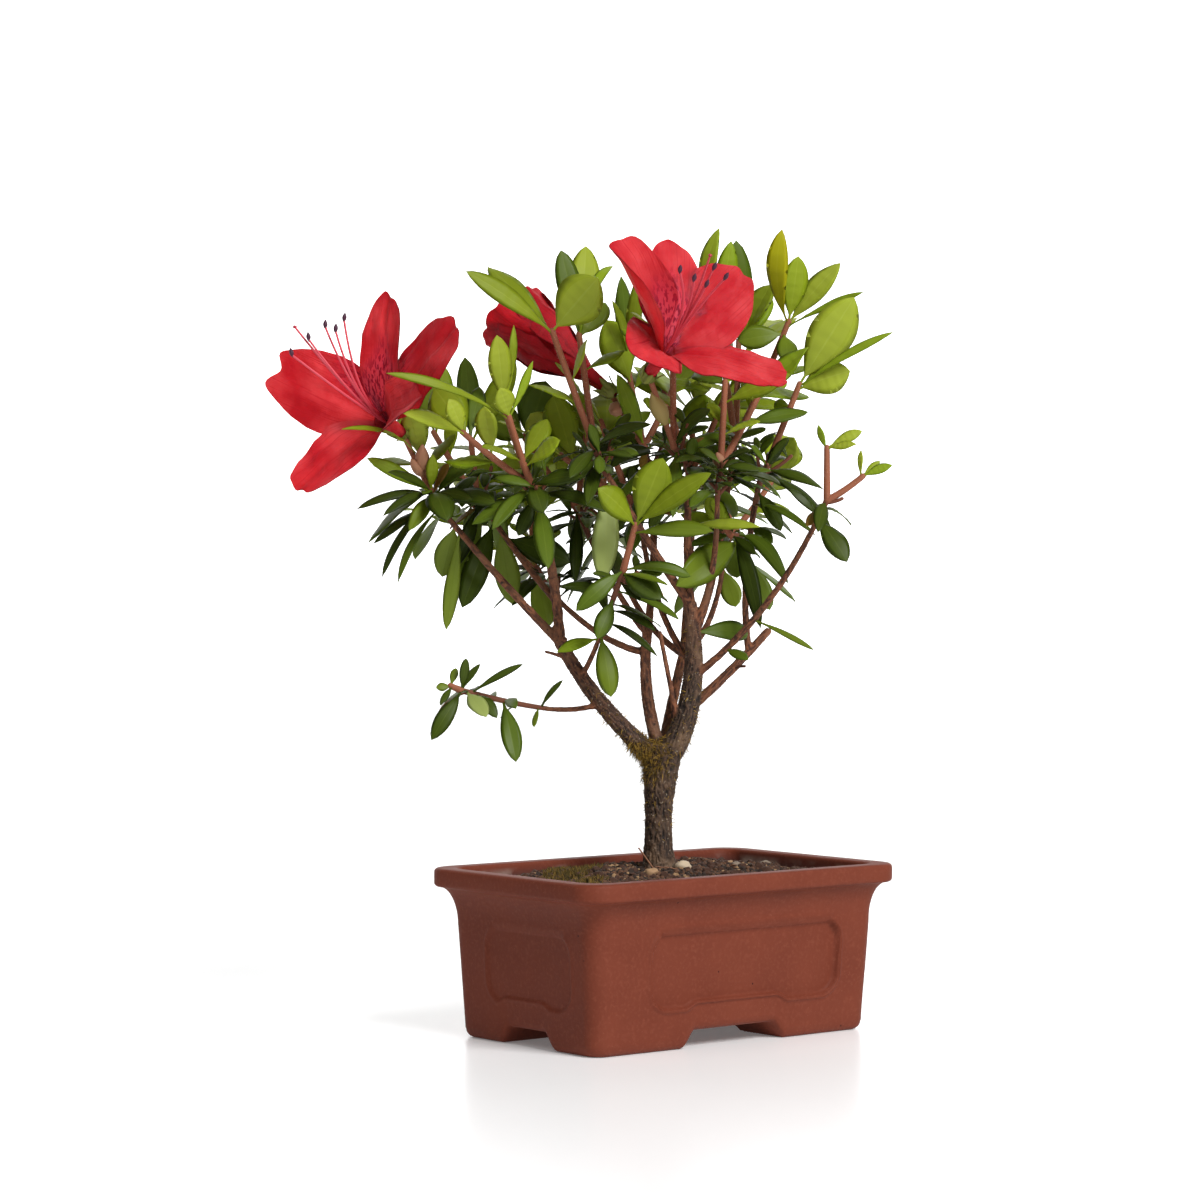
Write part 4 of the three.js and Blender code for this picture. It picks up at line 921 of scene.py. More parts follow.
def lobe_sheets(flower, lobe, seed):
    """One lobe's inner and outer sheets as grids from its root in the funnel to its tip."""
    turn, opening, length, half, curl, cup, _, _, _ = lobe
    face, outward, side = petal_ways(flower, math.radians(turn))
    opening = math.radians(opening)
    run, across = lobe_run(flower, lobe, seed)
    tip = (FUNNEL["length"] + length * math.cos(opening), length * math.sin(opening))
    curve = Bend((*LOBE_ROOT, 0), (*flower["bend"], 0), (*tip, 0))
    line = curve.at(run)
    ways = curve.along(run)
    line[..., 0] -= curl * length * smoothstep(CURL_START, 1, run)
    widths = half * (LOBE_CLAW + (1 - LOBE_CLAW) * smoothstep(*LOBE_WIDENING, run))
    widths = np.maximum(widths, flower["wrap"] * line[..., 1])
    opened = smoothstep(*LOBE_OPENING, run)
    bend = (1 - opened) / np.maximum(line[..., 1], LEAST_THROAT) + opened * cup / half
    bend = np.where(abs(bend) < FLAT_BEND, FLAT_BEND, bend)
    angle = bend * widths * across
    flat = np.sin(angle) / bend
    rise = (1 - np.cos(angle)) / bend
    frill = np.sin(run * FRILL["waves"] + seed * 2 + FRILL["phase"] * np.sign(across))
    ruffle = FRILL["height"] * frill * run ** 3 * abs(across) ** 2
    ruffle += SWELL["height"] * np.sin(run * SWELL["waves"] + across * SWELL["slant"] + seed) * run ** 2
    crinkle = np.zeros(run.shape)
    for (row, column), along in np.ndenumerate(run):
        grain = (across[column] * CRINKLE["across"], along * CRINKLE["along"], seed * CRINKLE["layer"])
        crinkle[row, column] = noise.noise(Vector(grain))
    ruffle += CRINKLE["height"] * crinkle * smoothstep(*CRINKLE["start"], run)
    crease = CREASE["depth"] * np.exp(-(across / CREASE["width"]) ** 2) * smoothstep(*CREASE["start"], run)
    height = rise + ruffle - crease

    def spot(lift):
        along = line[..., 0] + ways[..., 1] * (height + lift)
        out = line[..., 1] - ways[..., 0] * (height + lift)
        return (vector(flower["base"]) + along[..., None] * face + out[..., None] * outward
                + flat[..., None] * side)

    return spot(LOBE_THICKNESS / 2), spot(-LOBE_THICKNESS / 2)


def funnel_grid(flower):
    """The funnel's wall from the stalk to the throat."""
    face, outward, side = petal_ways(flower, 0)
    angles = np.linspace(0, math.tau, FUNNEL["columns"])
    rings = []
    for share in np.linspace(0, FUNNEL["end"], FUNNEL["rings"]):
        radius = FUNNEL["foot"] + (FUNNEL["mouth"] - FUNNEL["foot"]) * share ** FUNNEL["flare"]
        radius *= 1 + FUNNEL["rib_depth"] * np.cos(FUNNEL["ribs"] * angles)[:, None] * share
        spokes = np.cos(angles)[:, None] * outward + np.sin(angles)[:, None] * side
        rings.append(vector(flower["base"]) + face * FUNNEL["length"] * share + radius * spokes)
    return np.array(rings)


def petal_material(name, red, pale, freckle, flushed, vein):
    """Silky red with fine darker veins along it, and freckles where they are marked."""
    material, tree, shader = new_material(name)
    run = add_node(tree, "ShaderNodeAttribute", attribute_name="run").outputs["Fac"]
    across = add_node(tree, "ShaderNodeAttribute", attribute_name="across").outputs["Fac"]
    marked = add_node(tree, "ShaderNodeAttribute", attribute_name="freckle").outputs["Fac"]
    place = add_node(tree, "ShaderNodeTexCoord").outputs["Object"]
    flat = add_node(tree, "ShaderNodeCombineXYZ", {0: across, 1: run}).outputs[0]
    drawn = add_node(tree, "ShaderNodeMapping", {"Vector": flat, "Scale": (24, 2.2, 1)}).outputs[0]
    veins = add_node(tree, "ShaderNodeTexNoise", {"Vector": drawn, "Scale": 1, "Detail": 3}).outputs[0]
    cloud = add_node(tree, "ShaderNodeTexNoise", {"Vector": place, "Scale": 90, "Detail": 2}).outputs[0]
    colour = mix_colours(tree, ramp(tree, cloud, 0.35, 0.7), red, pale)
    colour = mix_colours(tree, ramp(tree, veins, 0.54, 0.74), colour, vein)
    dashes = add_node(tree, "ShaderNodeMapping", {"Vector": flat, "Scale": (12, 15, 1)}).outputs[0]
    speckle = add_node(tree, "ShaderNodeTexNoise", {"Vector": dashes, "Scale": 1, "Detail": 2}).outputs[0]
    spots = ramp(tree, speckle, 0.5, 0.54)
    dots = add_node(tree, "ShaderNodeMath", {0: marked, 1: spots}, operation="MULTIPLY")
    flush = add_node(tree, "ShaderNodeMath", {0: marked, 1: 0.6}, operation="MULTIPLY")
    colour = mix_colours(tree, flush.outputs[0], colour, flushed)
    colour = mix_colours(tree, dots.outputs[0], colour, freckle)
    tree.links.new(colour, shader.inputs["Base Color"])
    shader.inputs["Roughness"].default_value = 0.6
    shader.inputs["Specular IOR Level"].default_value = 0.14
    shader.inputs["Sheen Weight"].default_value = 0.08
    shader.inputs["Sheen Tint"].default_value = (1, 0.6, 0.6, 1)
    shader.inputs["Subsurface Weight"].default_value = 0.5
    shader.inputs["Subsurface Radius"].default_value = (1, 0.2, 0.15)
    shader.inputs["Subsurface Scale"].default_value = 0.002
    crepe = add_node(tree, "ShaderNodeTexNoise", {"Vector": place, "Scale": 420, "Detail": 3}).outputs[0]
    bump = add_node(tree, "ShaderNodeBump", {"Strength": 0.45, "Distance": 0.0008, "Height": crepe})
    tree.links.new(bump.outputs[0], shader.inputs["Normal"])
    return material


class Rooms:
    """Pieces that stand already, each with its owner, for the test that keeps others clear of them."""

    MOST = 6000

    def __init__(self):
        self.owners = []
        self.surfaces = []
        self.lows = np.zeros((self.MOST, 3))
        self.highs = np.zeros((self.MOST, 3))

    @staticmethod
    def surface(grid, closed):
        quads = grid_quads(grid.shape[0], grid.shape[1], closed)
        return BVHTree.FromPolygons(grid.reshape(-1, 3).tolist(), quads.tolist())

    def keep(self, owner, grid, closed=True):
        number = len(self.owners)
        self.owners.append(owner)
        self.surfaces.append(self.surface(grid, closed))
        self.lows[number] = grid.reshape(-1, 3).min(axis=0)
        self.highs[number] = grid.reshape(-1, 3).max(axis=0)

    def meets(self, grid, skip=None, closed=True):
        """Whether a piece meets any other, apart from those of the owner to skip."""
        count = len(self.owners)
        low, high = grid.reshape(-1, 3).min(axis=0), grid.reshape(-1, 3).max(axis=0)
        near = np.all(self.lows[:count] <= high, axis=1) & np.all(self.highs[:count] >= low, axis=1)
        surface = None
        for number in np.flatnonzero(near):
            if self.owners[number] == skip:
                continue
            if surface is None:
                surface = self.surface(grid, closed)
            if self.surfaces[number].overlap(surface):
                return True
        return False


GAP = 0.3
ROOM_SIDES = 6
ROOM_STRIDE = 3
rooms = Rooms()
for name, curve in curves.items():
    rooms.keep(name, tube(curve, limb_radii[name][::ROOM_STRIDE], ROOM_SIDES, GAP))

ATLAS_COLUMNS = 6
ATLAS_MARGIN = 0.02
SHEET_SHIFT = 3.7


def add_sheet(pile, grid, look, run, across, freckle):
    """Puts one sheet of a flower on the pile, with its marks and its own cell of the atlas."""
    number = len(pile.points)
    column, row = number % ATLAS_COLUMNS, number // ATLAS_COLUMNS
    shape = grid.shape[:2]
    inner = 1 - 2 * ATLAS_MARGIN
    down = np.linspace(ATLAS_MARGIN, 1 - ATLAS_MARGIN, shape[0])[:, None]
    marks = {
        "run": run,
        "across": across + SHEET_SHIFT * number,
        "freckle": freckle,
        "u": (column + (across + 1) / 2 * inner + ATLAS_MARGIN) / ATLAS_COLUMNS,
        "v": (row + down) / ATLAS_COLUMNS,
    }
    marks = {mark: np.broadcast_to(value, shape) for mark, value in marks.items()}
    pile.add(to_row(grid), look, False, marks)


pile = Pile()
for number, flower in enumerate(FLOWERS):
    # The back flower takes the petal looks that are painted darker as shade
    inner_look, outer_look = (2, 3) if flower["painted_shade"] else (0, 1)
    for place, lobe in enumerate(flower["lobes"]):
        seed = number * FLOWER_SEED + place
        inner, outer = lobe_sheets(flower, lobe, seed)
        rooms.keep(flower["spray"], inner, False)
        run, across = lobe_run(flower, lobe, seed)
        amount, freckled_side = lobe[7:]
        reach = FRECKLES["reach"] - FRECKLES["narrowing"] * abs(across)
        if freckled_side:
            reach = FRECKLES["side_reach"] * smoothstep(*FRECKLES["side"], across * freckled_side)
        faded = smoothstep(reach - FRECKLES["fade"], reach, run)
        freckle = amount * (1 - faded) * smoothstep(*FRECKLES["start"], run)
        add_sheet(pile, inner, inner_look, run, across, freckle)
        add_sheet(pile, outer, outer_look, run, across, 0)
    wall = funnel_grid(flower)
    rooms.keep(flower["spray"], wall, False)
    run = np.linspace(0, FUNNEL["run"], wall.shape[0])[:, None]
    across = np.linspace(-1, 1, wall.shape[1])
    add_sheet(pile, wall, outer_look, run, across, 0)
PETAL_COLOURS = {
    # red, pale red, freckle, the pink flush between the freckles, vein
    "petal_inner": [(168, 16, 29), (198, 58, 63), (122, 0, 34), (204, 62, 84), (156, 11, 28)],
    "petal_outer": [(168, 16, 28), (196, 54, 59), (134, 0, 38), (190, 44, 76), (154, 9, 25)],
    # Painted shade: the back flower's petal colours are darker copies of the others
    "shaded_petal_inner": [(132, 4, 16), (146, 10, 22), (90, 0, 24), (140, 8, 30), (104, 2, 12)],
    "shaded_petal_outer": [(146, 4, 18), (168, 14, 28), (90, 0, 24), (140, 8, 30), (112, 0, 12)],
}
petal_looks = []
for name, colours in PETAL_COLOURS.items():
    petal_looks.append(petal_material(name, *[linear(*colour) for colour in colours]))
corollas = pile.piece("flower_corollas", petal_looks)
atlas = corollas.data.uv_layers.new(name="OFBake")
corners = np.concatenate(pile.quads).ravel()
places_on_atlas = np.column_stack([np.concatenate(pile.marks[mark])[corners] for mark in ("u", "v")])
atlas.data.foreach_set("uv", places_on_atlas.astype(np.float32).ravel())
for mark in ("u", "v"):
    corollas.data.attributes.remove(corollas.data.attributes[mark])
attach(corollas, "root")

FILAMENT = {"bend": 1.5, "radius": 0.45, "taper": 0.75, "steps": 16, "sides": 7}
FAN_DEPTHS = (-2, 0, 2)
GRAIN_LEAN = (0.4, 0, 0.9)
ANTHER = {"length": 3.2, "radius": 0.72, "seat": 0.8}
STIGMA = {"length": 1.1, "radius": 0.7, "seat": 0}
BEAD = {"end": 0.08, "rings": 7, "sides": 8}
pile = Pile()


def bead(centre, way, length, radius):
    """A small rounded grain along a way, as rings of points."""
    line = Bend(centre - way * length / 2, centre, centre + way * length / 2)
    swell = np.sin(np.linspace(BEAD["end"], math.pi - BEAD["end"], BEAD["rings"]))
    return tube(line, radius * swell, BEAD["sides"])


def tilted(axis, pitch, turn):
    """A direction at a pitch from an axis, turned round it from the tree's right-hand side."""
    side = unit(np.cross((0, 1, 0), axis))
    outward = side * math.cos(turn) + np.cross(axis, side) * math.sin(turn)
    return axis * math.cos(pitch) + outward * math.sin(pitch)


for flower in FLOWERS:
    if not flower["fan"]:
        continue
    face, base = unit(flower["face"]), vector(flower["base"])
    start = base + face * FUNNEL["length"] / 2
    bend = base + face * FUNNEL["length"] * FILAMENT["bend"]
    for place, (right, up) in enumerate([*flower["fan"], flower["stigma"]]):
        style = place == len(flower["fan"])
        end = vector(flower["anthers"]) + np.array([right, FAN_DEPTHS[place % 3], up])
        line = Bend(start, bend, end)
        tip_radius = FILAMENT["radius"] * FILAMENT["taper"]
        radii = np.linspace(FILAMENT["radius"], tip_radius, FILAMENT["steps"])
        pile.add(to_row(tube(line, radii, FILAMENT["sides"])), 0, True)
        lying = unit(line.along(1) + np.array(GRAIN_LEAN))
        kind = STIGMA if style else ANTHER
        grain = bead(end + lying * kind["seat"], lying, kind["length"], kind["radius"])
        pile.add(to_row(grain), 2 if style else 1, True)
stamen_looks = [plain_material("filament", (204, 62, 78), 0.5), plain_material("anther", (62, 16, 44), 0.6),
                plain_material("stigma", (170, 40, 60), 0.5)]
stamens = pile.piece("stamens", stamen_looks)
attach(stamens, "root")

# Twigs and shoots
# Slim twigs run on from the tips of the limbs to a joint, and hairy red-brown shoots lean out of it.
# Every flower's stalk springs from a joint and ends in a small green cup, and buds sit beside it.
SPRAY_KEYS = ("name", "limb", "joint", "lean", "shoots", "reach", "spread", "turn", "old", "young",
              "start", "old_leaf", "young_leaf", "droop")
SPRAYS = [
    ("left_flower_spray", "left_outer_limb", (-73, -16, 121), (-0.3, 0.3, 0.9),
     1, 13, 0, 0, 10, 4, 0.1, 21, 18, 0.4),
    ("left_shoulder_spray", "left_middle_limb", (-59, 8, 119), (-0.35, 0.2, 0.9),
     2, 24, 24, 60, 8, 5, 0, 26, 26, 0.95),
    ("left_crown_spray", "left_inner_limb", (-41, -24, 123), (-0.5, -0.2, 0.86),
     3, 28, 22, 180, 9, 5, 0, 22, 27, 0.35),
    ("low_left_spray", "low_left_twig", (-63, -22, 58), (-0.9, -0.1, 0.4),
     1, 4, 0, 0, 8, 5, 0.25, 16, 14, 0.3),
    ("front_spray", "front_twig", (-12, -33, 96), (0.25, -0.2, 0.95),
     1, 15, 0, 0, 9, 5, 0.12, 19, 27, 0.3),
    ("centre_crown_spray", "centre_limb", (-21, -22, 135), (-0.24, 0, 0.96),
     2, 35, 8, 40, 9, 6, 0, 20, 29, 0.3),
    ("centre_flower_spray", "flower_limb", (4, -16, 135), (0, 0.35, 0.9),
     1, 32, 0, 0, 9, 5, 0, 20, 25, 0.35),
    ("right_inner_spray", "right_inner_limb", (19, -12, 129), (0.25, 0.2, 0.9),
     2, 27, 16, 40, 9, 5, 0, 21, 25, 0.4),
    ("middle_spray", "inner_limb", (-9, 13, 118), (-0.6, -0.1, 0.75),
     2, 26, 18, 10, 6, 4, 0, 21, 30, 0.4),
    ("right_crown_spray", "right_back_limb", (25, 20, 138), (0.1, 0, 0.97),
     3, 39, 19, -20, 8, 6, 0.1, 21, 31, 0.35),
    ("right_top_spray", "right_shoot", (34, 4, 128), (0.36, -0.12, 0.92),
     1, 27, 0, 0, 7, 7, 0, 22, 33, 0.4),
    ("right_side_spray", "right_side_twig", (23, 3, 107), (-0.4, -0.3, 0.5),
     1, 5, 0, 0, 6, 3, 0, 20, 21, 0.8),
    ("right_twig_spray", "long_twig", (52, -27, 118), (0.45, 0, 0.85),
     2, 15, 28, 0, 4, 5, 0.2, 16, 13, 0.5),
    ("back_left_spray", "middle_left_limb", (-41, 32, 97), (-0.4, 0.25, 0.85),
     2, 24, 22, 30, 7, 5, 0, 22, 27, 0.5),
    ("back_flower_spray", "middle_top_limb", (-5, 19, 136), (0.1, 0.35, 0.9),
     2, 28, 20, 30, 7, 5, 0, 20, 27, 0.35),
    ("middle_fork_spray", "middle_fork_limb", (-27, 34, 116), (-0.25, 0.2, 0.9),
     2, 28, 24, 30, 7, 5, 0, 21, 28, 0.4),
    ("rear_left_spray", "rear_left_limb", (-19, 59, 113), (-0.25, 0.3, 0.9),
     3, 25, 30, 60, 6, 5, 0, 22, 27, 0.5),
    ("rear_right_spray", "rear_right_limb", (25, 56, 108), (0.1, 0.35, 0.9),
     3, 24, 30, 0, 6, 4, 0, 22, 27, 0.5),
    ("rear_top_spray", "rear_top_limb", (11, 44, 128), (0.05, 0.1, 0.98),
     3, 28, 24, 90, 7, 5, 0, 21, 28, 0.4),
]
SPRAY_SEED = 7919
TWIG_STEPS = 12
TWIG_SIDES = 9
ROOM_STEPS = 5
STEM_BEND = 0.4
STEM_TIP_RADIUS = 1
SHOOT_RADII = (1.15, 0.95)
STALK_RADIUS = 0.9
STALK_DEPTH = 2
STALK_BOW = 1.5
BUD_SEAT = 0.45
SHOOT_LENGTH_SPREAD = 0.12
SHOOT_RISE = 0.15
HAIR = {"per_mm": 6, "span": (0.03, 0.98), "seat": 0.8, "lean": (0.2, 1.0), "length": (0.5, 1.1),
        "half": 0.06, "taper": 0.3}
CALYX = {"below": 1, "length": 4.5, "radii": (1.0, 2.2, 2.6, 2.4), "sides": 12}
SEPAL = {"count": 5, "length": 5, "half": 1.1, "along": 0.5, "out": 1.9, "spread": (0.4, 1.6),
         "bulge": 0.25, "widths": {0: 1, 0.4: 1.15, 0.75: 0.7, 1: 0.08}}
BUDS = [
    # spray, shoot or stalk that carries it, share of its length, way, length, radius, look
    ("left_flower_spray", "stalk", 0.3, (0.05, -0.6, 0.8), 12, 2.4, 3),
    ("left_flower_spray", "stalk", 0.25, (-0.4, -0.6, 0.6), 9, 1.9, 3),
    ("centre_flower_spray", "stalk", 0.3, (-0.4, -0.4, 0.85), 13, 2.8, 4),
    ("back_flower_spray", "stalk", 0.7, (-0.3, -0.9, -0.2), 7, 2.6, 3),
    ("right_inner_spray", "stem", 0.98, (-0.2, -0.5, 0.8), 6, 2.0, 3),
]


class Draws:
    """Repeatable random numbers from 0 to 1, in the order that the plant grows."""

    FACTOR, ADDEND, RANGE = 1664525, 1013904223, 2 ** 32

    def __init__(self, seed):
        self.state = seed

    def next(self):
        self.state = (self.state * self.FACTOR + self.ADDEND) % self.RANGE
        return self.state / self.RANGE

    def between(self, low, high):
        return low + (high - low) * self.next()


def grow_twigs(spray, number):
    """A spray's stem and those of its shoots that find room."""
    draws = Draws(SPRAY_SEED * (number + 1))
    limb = curves[spray["limb"]]
    joint = vector(spray["joint"])
    bend = limb.end + limb.along(1) * np.linalg.norm(joint - limb.end) * STEM_BEND
    stem = Bend(limb.end, bend, joint)
    stem_radii = np.linspace(bark_radii[spray["limb"]][-1], STEM_TIP_RADIUS, TWIG_STEPS)
    rooms.keep(spray["name"], tube(stem, stem_radii[::ROOM_STRIDE], ROOM_SIDES, GAP))
    lean = unit(spray["lean"])
    spread = math.radians(spray["spread"])
    shoots = {}
    for place in range(spray["shoots"]):
        turn = math.radians(spray["turn"]) + math.tau * place / spray["shoots"]
        way = tilted(lean, spread, turn)
        length = spray["reach"] * (1 + SHOOT_LENGTH_SPREAD * (2 * draws.next() - 1))
        middle = joint + way * length / 2 - np.array([0, 0, SHOOT_RISE * length * math.sin(spread)])
        shoot = Bend(joint, middle, joint + way * length)
        room = tube(shoot, np.linspace(*SHOOT_RADII, ROOM_STEPS), ROOM_SIDES, GAP)
        if not rooms.meets(room, spray["name"]):
            rooms.keep(spray["name"], room)
            shoots[place] = shoot
    return {"spray": spray, "draws": draws, "stem": stem, "stem_radii": stem_radii, "shoots": shoots}


sprays = [dict(zip(SPRAY_KEYS, row)) for row in SPRAYS]
growths = {spray["name"]: grow_twigs(spray, number) for number, spray in enumerate(sprays)}
stalks = {flower["spray"]: flower for flower in FLOWERS}
twig_pile = Pile()
hair_pile = Pile()
dice = np.random.default_rng(23)


def add_hairs(curve, radius, amount):
    """Short pale bristles along a shoot."""
    for share in dice.uniform(*HAIR["span"], amount):
        way = curve.along(share)
        out = unit(np.cross(way, dice.normal(0, 1, 3)))
        root = curve.at(share) + out * radius * HAIR["seat"]
        tip = root + (out + way * dice.uniform(*HAIR["lean"])) * dice.uniform(*HAIR["length"])
        side = unit(np.cross(out, way)) * HAIR["half"]
        slim = side * HAIR["taper"]
        hair_pile.add(to_row(np.array([[root - side, root + side], [tip - slim, tip + slim]])))


def add_calyx(base, face):
    """The green cup under a flower, with its pointed sepals."""
    below = face * CALYX["below"]
    line = Bend(base - below, base + below, base + face * (CALYX["length"] - CALYX["below"]))
    twig_pile.add(to_row(tube(line, CALYX["radii"], CALYX["sides"])), 2, True)
    for place in range(SEPAL["count"]):
        out = tilted(face, math.pi / 2, math.tau * place / SEPAL["count"])
        side = np.cross(face, out) * SEPAL["half"]
        root = base + face * SEPAL["along"] + out * SEPAL["out"]
        near, far = SEPAL["spread"]
        bulge = out * SEPAL["bulge"]
        rows = []
        for share, width in SEPAL["widths"].items():
            middle = root + face * SEPAL["length"] * share + out * (near + far * share ** 2)
            rows.append([middle - side * width, middle + bulge, middle + side * width, middle - bulge])
        twig_pile.add(to_row(np.array(rows)), 2, True)


for growth in growths.values():
    spray = growth["spray"]
    twig_pile.add(to_row(tube(growth["stem"], growth["stem_radii"], TWIG_SIDES)), 0, True)
    for shoot in growth["shoots"].values():
        shoot_radii = np.linspace(*SHOOT_RADII, TWIG_STEPS)
        twig_pile.add(to_row(capped(tube(shoot, shoot_radii, TWIG_SIDES))), 1, True)
        add_hairs(shoot, SHOOT_RADII[0], int(HAIR["per_mm"] * shoot.length()))
    flower = stalks.get(spray["name"])
    if flower:
        face, base = unit(flower["face"]), vector(flower["base"])
        joint = vector(spray["joint"])
        middle = joint + (base - joint) / 2 + face * STALK_BOW
        stalk = Bend(joint, middle, base + face * STALK_DEPTH)
        growth["stalk"] = stalk
        twig_pile.add(to_row(tube(stalk, np.full(TWIG_STEPS, STALK_RADIUS), TWIG_SIDES)), 1, True)
        rooms.keep(spray["name"], tube(stalk, np.full(ROOM_STEPS, STALK_RADIUS), ROOM_SIDES, GAP))
        add_hairs(stalk, STALK_RADIUS, int(HAIR["per_mm"] * stalk.length()))
        add_calyx(base, face)
for name, twig, share, way, length, radius, look in BUDS:
    root = growths[name][twig].at(share)
    way = unit(way)
    bud = bead(root + way * length * BUD_SEAT, way, length, radius)
    rooms.keep(name, bud)
    twig_pile.add(to_row(bud), look, True)
twig_looks = [
    plain_material("red_brown_twig", (108, 60, 39), 0.8),
    plain_material("hairy_shoot", (140, 81, 53), 0.75),
    plain_material("calyx_green", (124, 128, 52), 0.6),
    plain_material("bud_scale", (168, 118, 88), 0.7),
    plain_material("green_bud", (158, 136, 78), 0.7),
]

# Leaves
# Whorls of broad yellow-green young leaves end the shoots, darker, glossy old leaves sit along the
# stems, and small dark or bronze rosettes at the joints. Each leaf has a short stalk, a pale midrib,
# a paler underside and a slight fold, and droops by its own weight.
GOLDEN_TURN = math.pi * (3 - math.sqrt(5))
OLD_PITCH = (60, 100)
YOUNG_PITCH = (12, 60)
LEAF_LENGTH_SPREAD = 0.22
OLD_SLIMNESS = (0.22, 0.34)
YOUNG_SLIMNESS = (0.36, 0.5)
YOUNG_DROOP = 0.12
WHORL_DEPTH = 7
TURN_SPREAD = 0.8
ATTEMPTS = 3
ATTEMPT_TURN = 0.9
LOWEST_LEAF = 6
LEAF_FULLNESS = 0.7
LIGHT_WAY = (0.25, -0.65, 0.7)
LIGHT_PULL = 1.5
ROOM_SHARES = {"old": (0, 0.5, 1), "young": (0, 0.32, 0.74, 1)}
BLADE_SHARES = (0.25, 0.5, 0.75, 1)
ROOM_THICKNESS = 0.4
LEAF_ROWS = {"old": 15, "young": 19}
BLUNTNESS = {"old": 0.62, "young": 0.74}
LEAF_STRIPS = (-1, -0.6, -0.045, 0.045, 0.6, 1)
PETIOLE = 0.1
PETIOLE_HALF = 0.42
LEAF_THICKNESS = 0.32
LEAF_FORM = {"widest": 1.25, "tip": (0.85, 1), "fold": (0.08, 0.3), "curl": (0.05, 0.25),
             "twist": 0.25}
LEAF_WAVE = {"height": (0.0, 0.06), "waves": 8, "slant": 2}
QUILT = {"height": 0.18, "veins": 6, "slant": 0.3, "edge": 3, "start": (0.15, 0.3)}
LEAF_PALENESS = {"margin": 0, "blade": 0.09, "rib": 0.18, "under": 0.26}

# The looks of one leaf's ten strips: margin, inner blade, midrib on top, then the underside
STRIP_LOOKS = np.array([0, 1, 2, 1, 0, 3, 3, 2, 3, 3])
YOUNG_SHADES = [(127, 144, 22), (139, 152, 38), (114, 136, 16), (106, 120, 12), (148, 144, 4)]
OLD_SHADES = [(38, 50, 4), (50, 64, 8), (70, 88, 16), (88, 104, 18), (140, 152, 84), (112, 82, 30)]
LOOKS = {"light": ("young", (0, 1, 2)), "gold": ("young", (4,)), "olive": ("young", (3,)),
         "mid": ("old", (2, 3)), "dark": ("old", (0, 1)), "pale": ("old", (4,))}
STREWN_SHADES = {"young": (0, 1, 2, 3), "old": (0, 1, 2), "rosette": (0, 1, 2, 5)}
FACINGS = {"front": (0.15, -1, 0.3), "under": (0, 1, 0.15), "up": (0, -0.75, 0.66),
           "slant": (0, -0.85, 0.5), "left": (-0.6, -0.8, 0.1), "right": (0.6, -0.8, 0.1)}
CAMERA_PLACE = (-19.3, -1158, 102.3)
CAMERA_DROP = math.radians(0.79)
SENSOR = 36
LENS = 108
PICTURE = 1200
FOCAL = PICTURE * LENS / SENSOR

